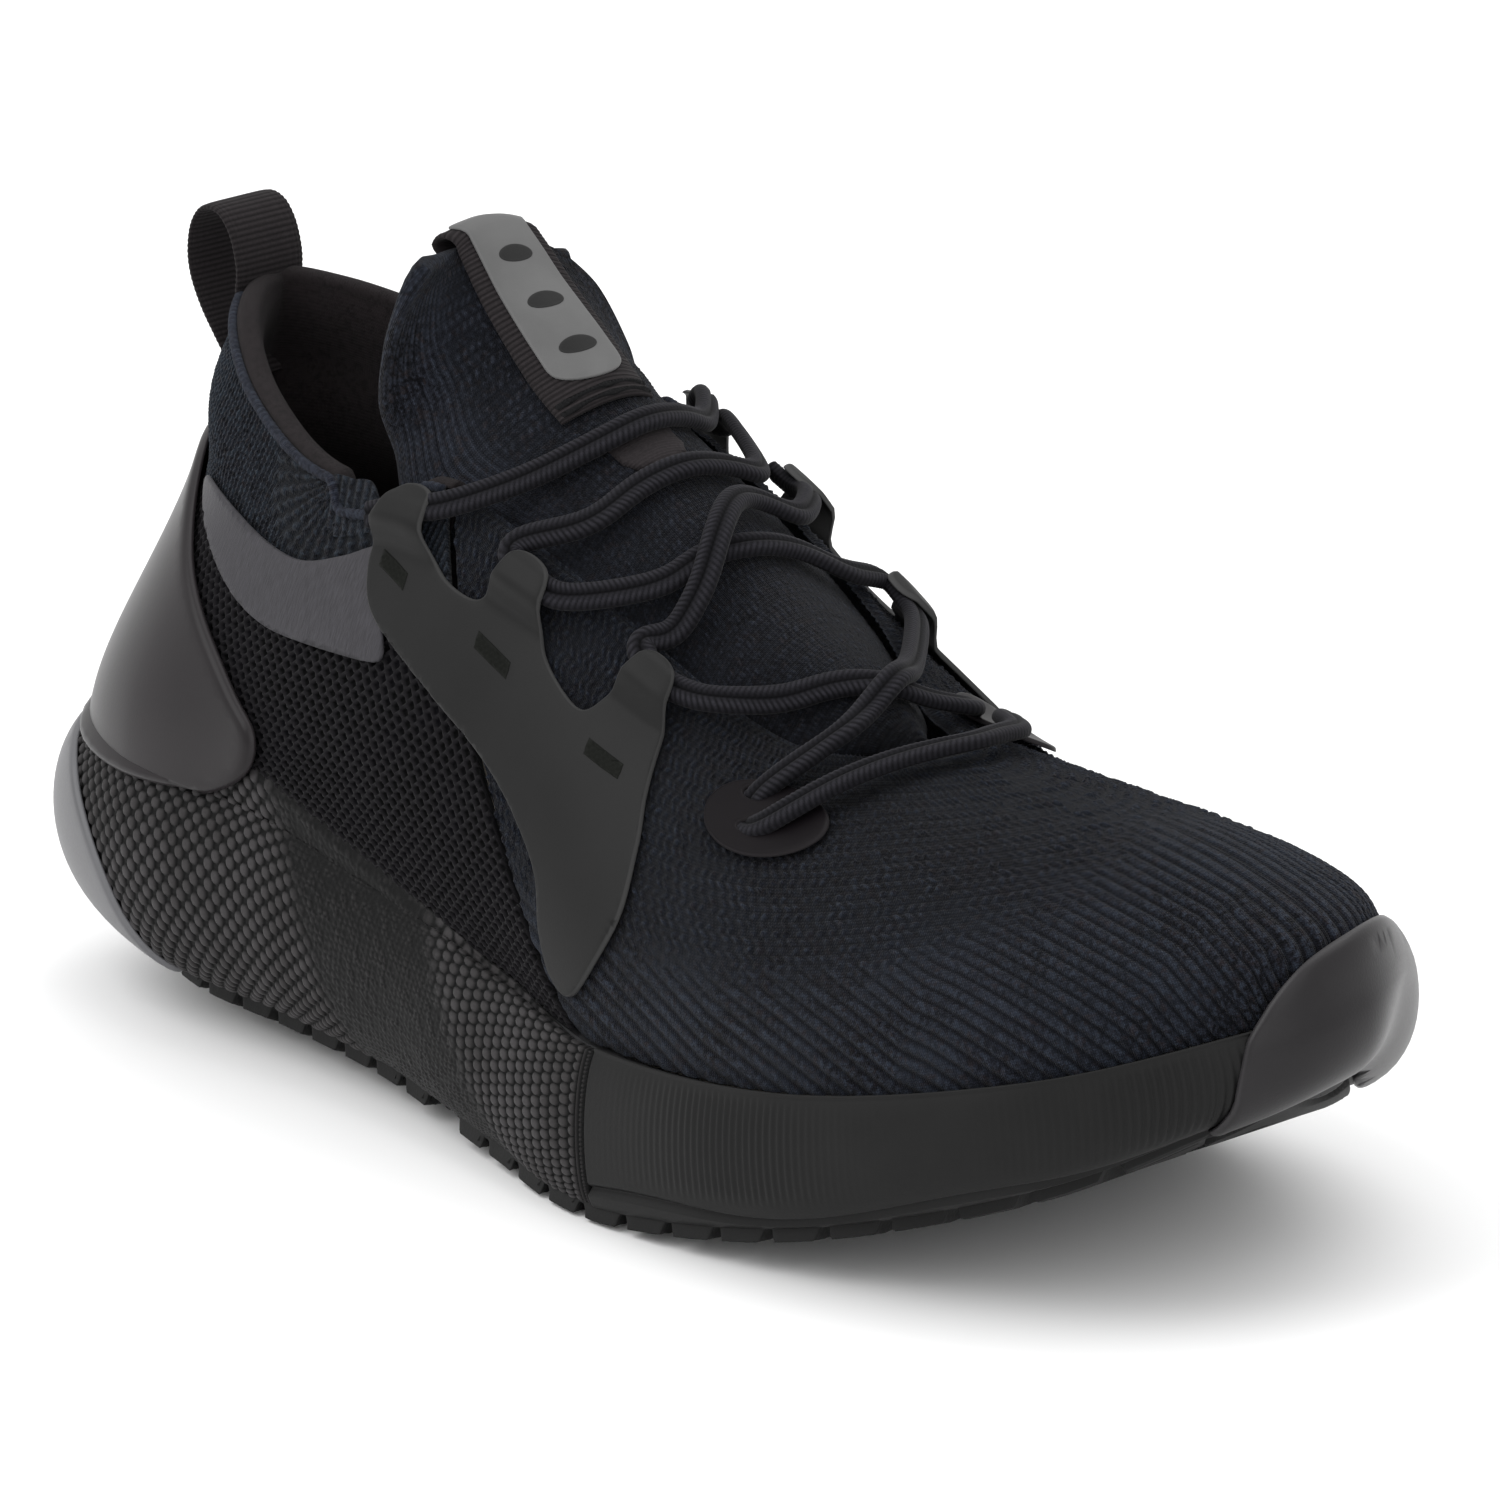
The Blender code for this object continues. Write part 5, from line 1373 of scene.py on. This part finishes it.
def make_materials():
    # The first colour given to each knit, net, weave, webbing and braid is the painted shade in its
    # recesses; in the knits it is also the darkest yarn.
    dark_yarn_and_shade = (0.0018, 0.002, 0.0032)
    return {
        "vamp": knit("vamp_melange_knit", dark_yarn_and_shade, (0.0165, 0.0178, 0.0262), (0.034, 0.043, 0.062),
                     0.75, 0.65),
        "tongue": knit("tongue_melange_knit", dark_yarn_and_shade, (0.019, 0.0205, 0.028),
                       (0.034, 0.04, 0.056), 0.75, 0.65),
        "collar": knit("collar_rib_knit", (0.003, 0.0035, 0.005), (0.022, 0.024, 0.032),
                       (0.034, 0.044, 0.058), 0.65, 0.7, 0.3),
        "rim": knit("collar_rim_yarn", (0.005, 0.006, 0.011), (0.03, 0.034, 0.05),
                    (0.045, 0.054, 0.075), 0.7, 0.6, 0.2),
        "lining": knit("lining_fabric", (0.0095, 0.0075, 0.008), (0.019, 0.0148, 0.016),
                       (0.021, 0.0168, 0.018), 0.5, 0.5, 0.0, shade=0.6),
        "insole": knit("insole_fabric", (0.006, 0.006, 0.007), (0.018, 0.018, 0.02),
                       (0.028, 0.028, 0.032), 0.6, 0.6, 0.2),
        "mesh": open_mesh("quarter_open_mesh", (0.0003, 0.0003, 0.0005), (0.0066, 0.006, 0.0072),
                          (0.0012, 0.001, 0.002)),
        "wrap": pillow_weave("sole_pillow_weave", (0.0012, 0.0012, 0.0013), (0.026, 0.024, 0.0245),
                             (0.039, 0.0365, 0.038)),
        "band": brushed("collar_band_satin", (0.034, 0.0325, 0.0375)),
        "webbing": webbing("ribbed_webbing", (0.003, 0.0026, 0.0028), (0.0205, 0.0178, 0.0188)),
        "lace": braid("lace_plaited_yarn", (0.0008, 0.0008, 0.0012), (0.0165, 0.016, 0.0195)),
        # For the moulded materials below, the edge setting is the strength of a painted highlight
        # along their edges.
        "sidewall": moulded("sidewall_rubber", grey(0.0085), 0.5, edge_highlight=0.2, depth=0.06, spec=0.12),
        "clip": moulded("heel_clip_rubber_skin", (0.085, 0.085, 0.09), 0.42, edge_highlight=0.2, spec=0.35),
        "bumper": moulded("toe_bumper_skin", (0.0112, 0.0102, 0.0112), 0.36, edge_highlight=0.25, coat=0.03,
                          spec=0.2),
        "counter": moulded("counter_gloss_tpu", (0.0092, 0.0074, 0.0084), 0.36, depth=0.02,
                           edge_highlight=0.3, coat=0.05, spread=0.06, spec=0.17),
        "film": moulded("eyestay_matte_film", grey(0.0082), 0.5, grain=3000, depth=0.04, edge_highlight=0.8,
                        spec=0.14),
        "emboss": moulded("eyestay_emboss_texture", (0.006, 0.0065, 0.0055), 0.65, depth=0.12,
                          edge_highlight=0.1, spec=0.06),
        "tpu": moulded("eyelet_tpu", (0.0052, 0.0043, 0.005), 0.42, depth=0.02, spec=0.05),
        "strip": moulded("tab_strip_film", grey(0.085), 0.45, edge_highlight=0.1, depth=0.03),
        "print": moulded("tab_print_ink", grey(0.012), 0.5, edge_highlight=0.1, spec=0.1),
        "thread": moulded("bartack_thread", (0.004, 0.004, 0.0045), 0.7, edge_highlight=0.1, depth=0.1,
                          spec=0.1),
        "outsole": moulded("outsole_rubber", grey(0.009), 0.55, depth=0.08, edge_highlight=0.3, spec=0.12),
        "foam": moulded("midsole_foam", (0.012, 0.012, 0.013), 0.75, grain=900, depth=0.12),
        "board": moulded("stiff_board", (0.12, 0.11, 0.095), 0.85, grain=700, depth=0.12),
        "insole_foam": moulded("insole_foam_cells", grey(0.03), 0.9, grain=900, depth=0.2),
    }


def dress_cad_nodes(mats):
    """CAD solids that stay as they are get the finished materials."""
    kept = {"midsole_core": "foam", "strobel_board": "board", "heel_stiffener": "board",
            "toe_puff": "board"}
    for node, key in kept.items():
        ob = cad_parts[node]
        for slot in ob.material_slots:
            slot.material = mats[key]


def camera():
    """Three-quarter view from above the outer toe side, as the object is shown."""
    azimuth, elevation, roll = (math.radians(a) for a in (50.2, 17.3, -2.3))
    distance, target = 2.0177, Vector((0.00515, 0.00355, 0.06159))
    sa, ca, se, ce = math.sin(azimuth), math.cos(azimuth), math.sin(elevation), math.cos(elevation)
    back = Vector((sa * ce, -ca * ce, se))
    right, up = Vector((ca, sa, 0)), Vector((-sa * se, ca * se, ce))
    data = bpy.data.cameras.new("camera")
    data.sensor_width, data.lens = 36.0, 298.4
    cam = add_object("camera", data)
    cam.location = target + back * distance
    m = cam.rotation_euler.to_matrix()
    m.col[0] = right * math.cos(roll) + up * math.sin(roll)
    m.col[1] = up * math.cos(roll) - right * math.sin(roll)
    m.col[2] = back
    cam.rotation_euler = m.to_euler()
    bpy.context.scene.camera = cam


def studio():
    """Pale floor, white surroundings and three large soft lamps."""
    world = bpy.data.worlds.new("studio_world")
    world.use_nodes = True
    bg = world.node_tree.nodes["Background"]
    bg.inputs["Color"].default_value = (1.0, 1.0, 1.0, 1)
    bg.inputs["Strength"].default_value = 1.0
    bpy.context.scene.world = world
    bpy.context.scene.view_settings.view_transform = "Standard"
    s = Shader("floor_paint", grey(0.9), 0.8)
    s.color(s.mix(s.noise(3, 2), grey(0.9), grey(0.92)))
    half, low = 6000.0, CAD_BOX[0][2] / MM - 0.15       # floor just under the tread
    co = [(x * half, y * half, low) for x, y in ((-1, -1), (1, -1), (1, 1), (-1, 1))]
    mesh_object("studio_floor", co, [np.array([[0, 1, 2, 3]])], s.mat)
    for name, at, size, watts in (("key", (-0.5, -1.1, 1.5), 1.4, 14),
                                  ("fill", (1.4, -0.7, 0.9), 1.4, 5),
                                  ("top", (0.1, 0.7, 1.8), 1.8, 14)):
        lamp = bpy.data.lights.new(name, "AREA")
        lamp.shape, lamp.size, lamp.energy = "SQUARE", size, watts
        ob = add_object(name, lamp)
        ob.location = at
        ob.rotation_euler = Vector(at).to_track_quat("Z", "Y").to_euler()


camera()
studio()
materials = make_materials()
dress_cad_nodes(materials)
for make in (midsole_wrap, sidewall, heel_and_toe_rubber, tread, vamp_knit, quarter_meshes, collar,
             overlays, counter_shell, tongue, tongue_trim, pull_loop, lace, footbed):
    make(materials)
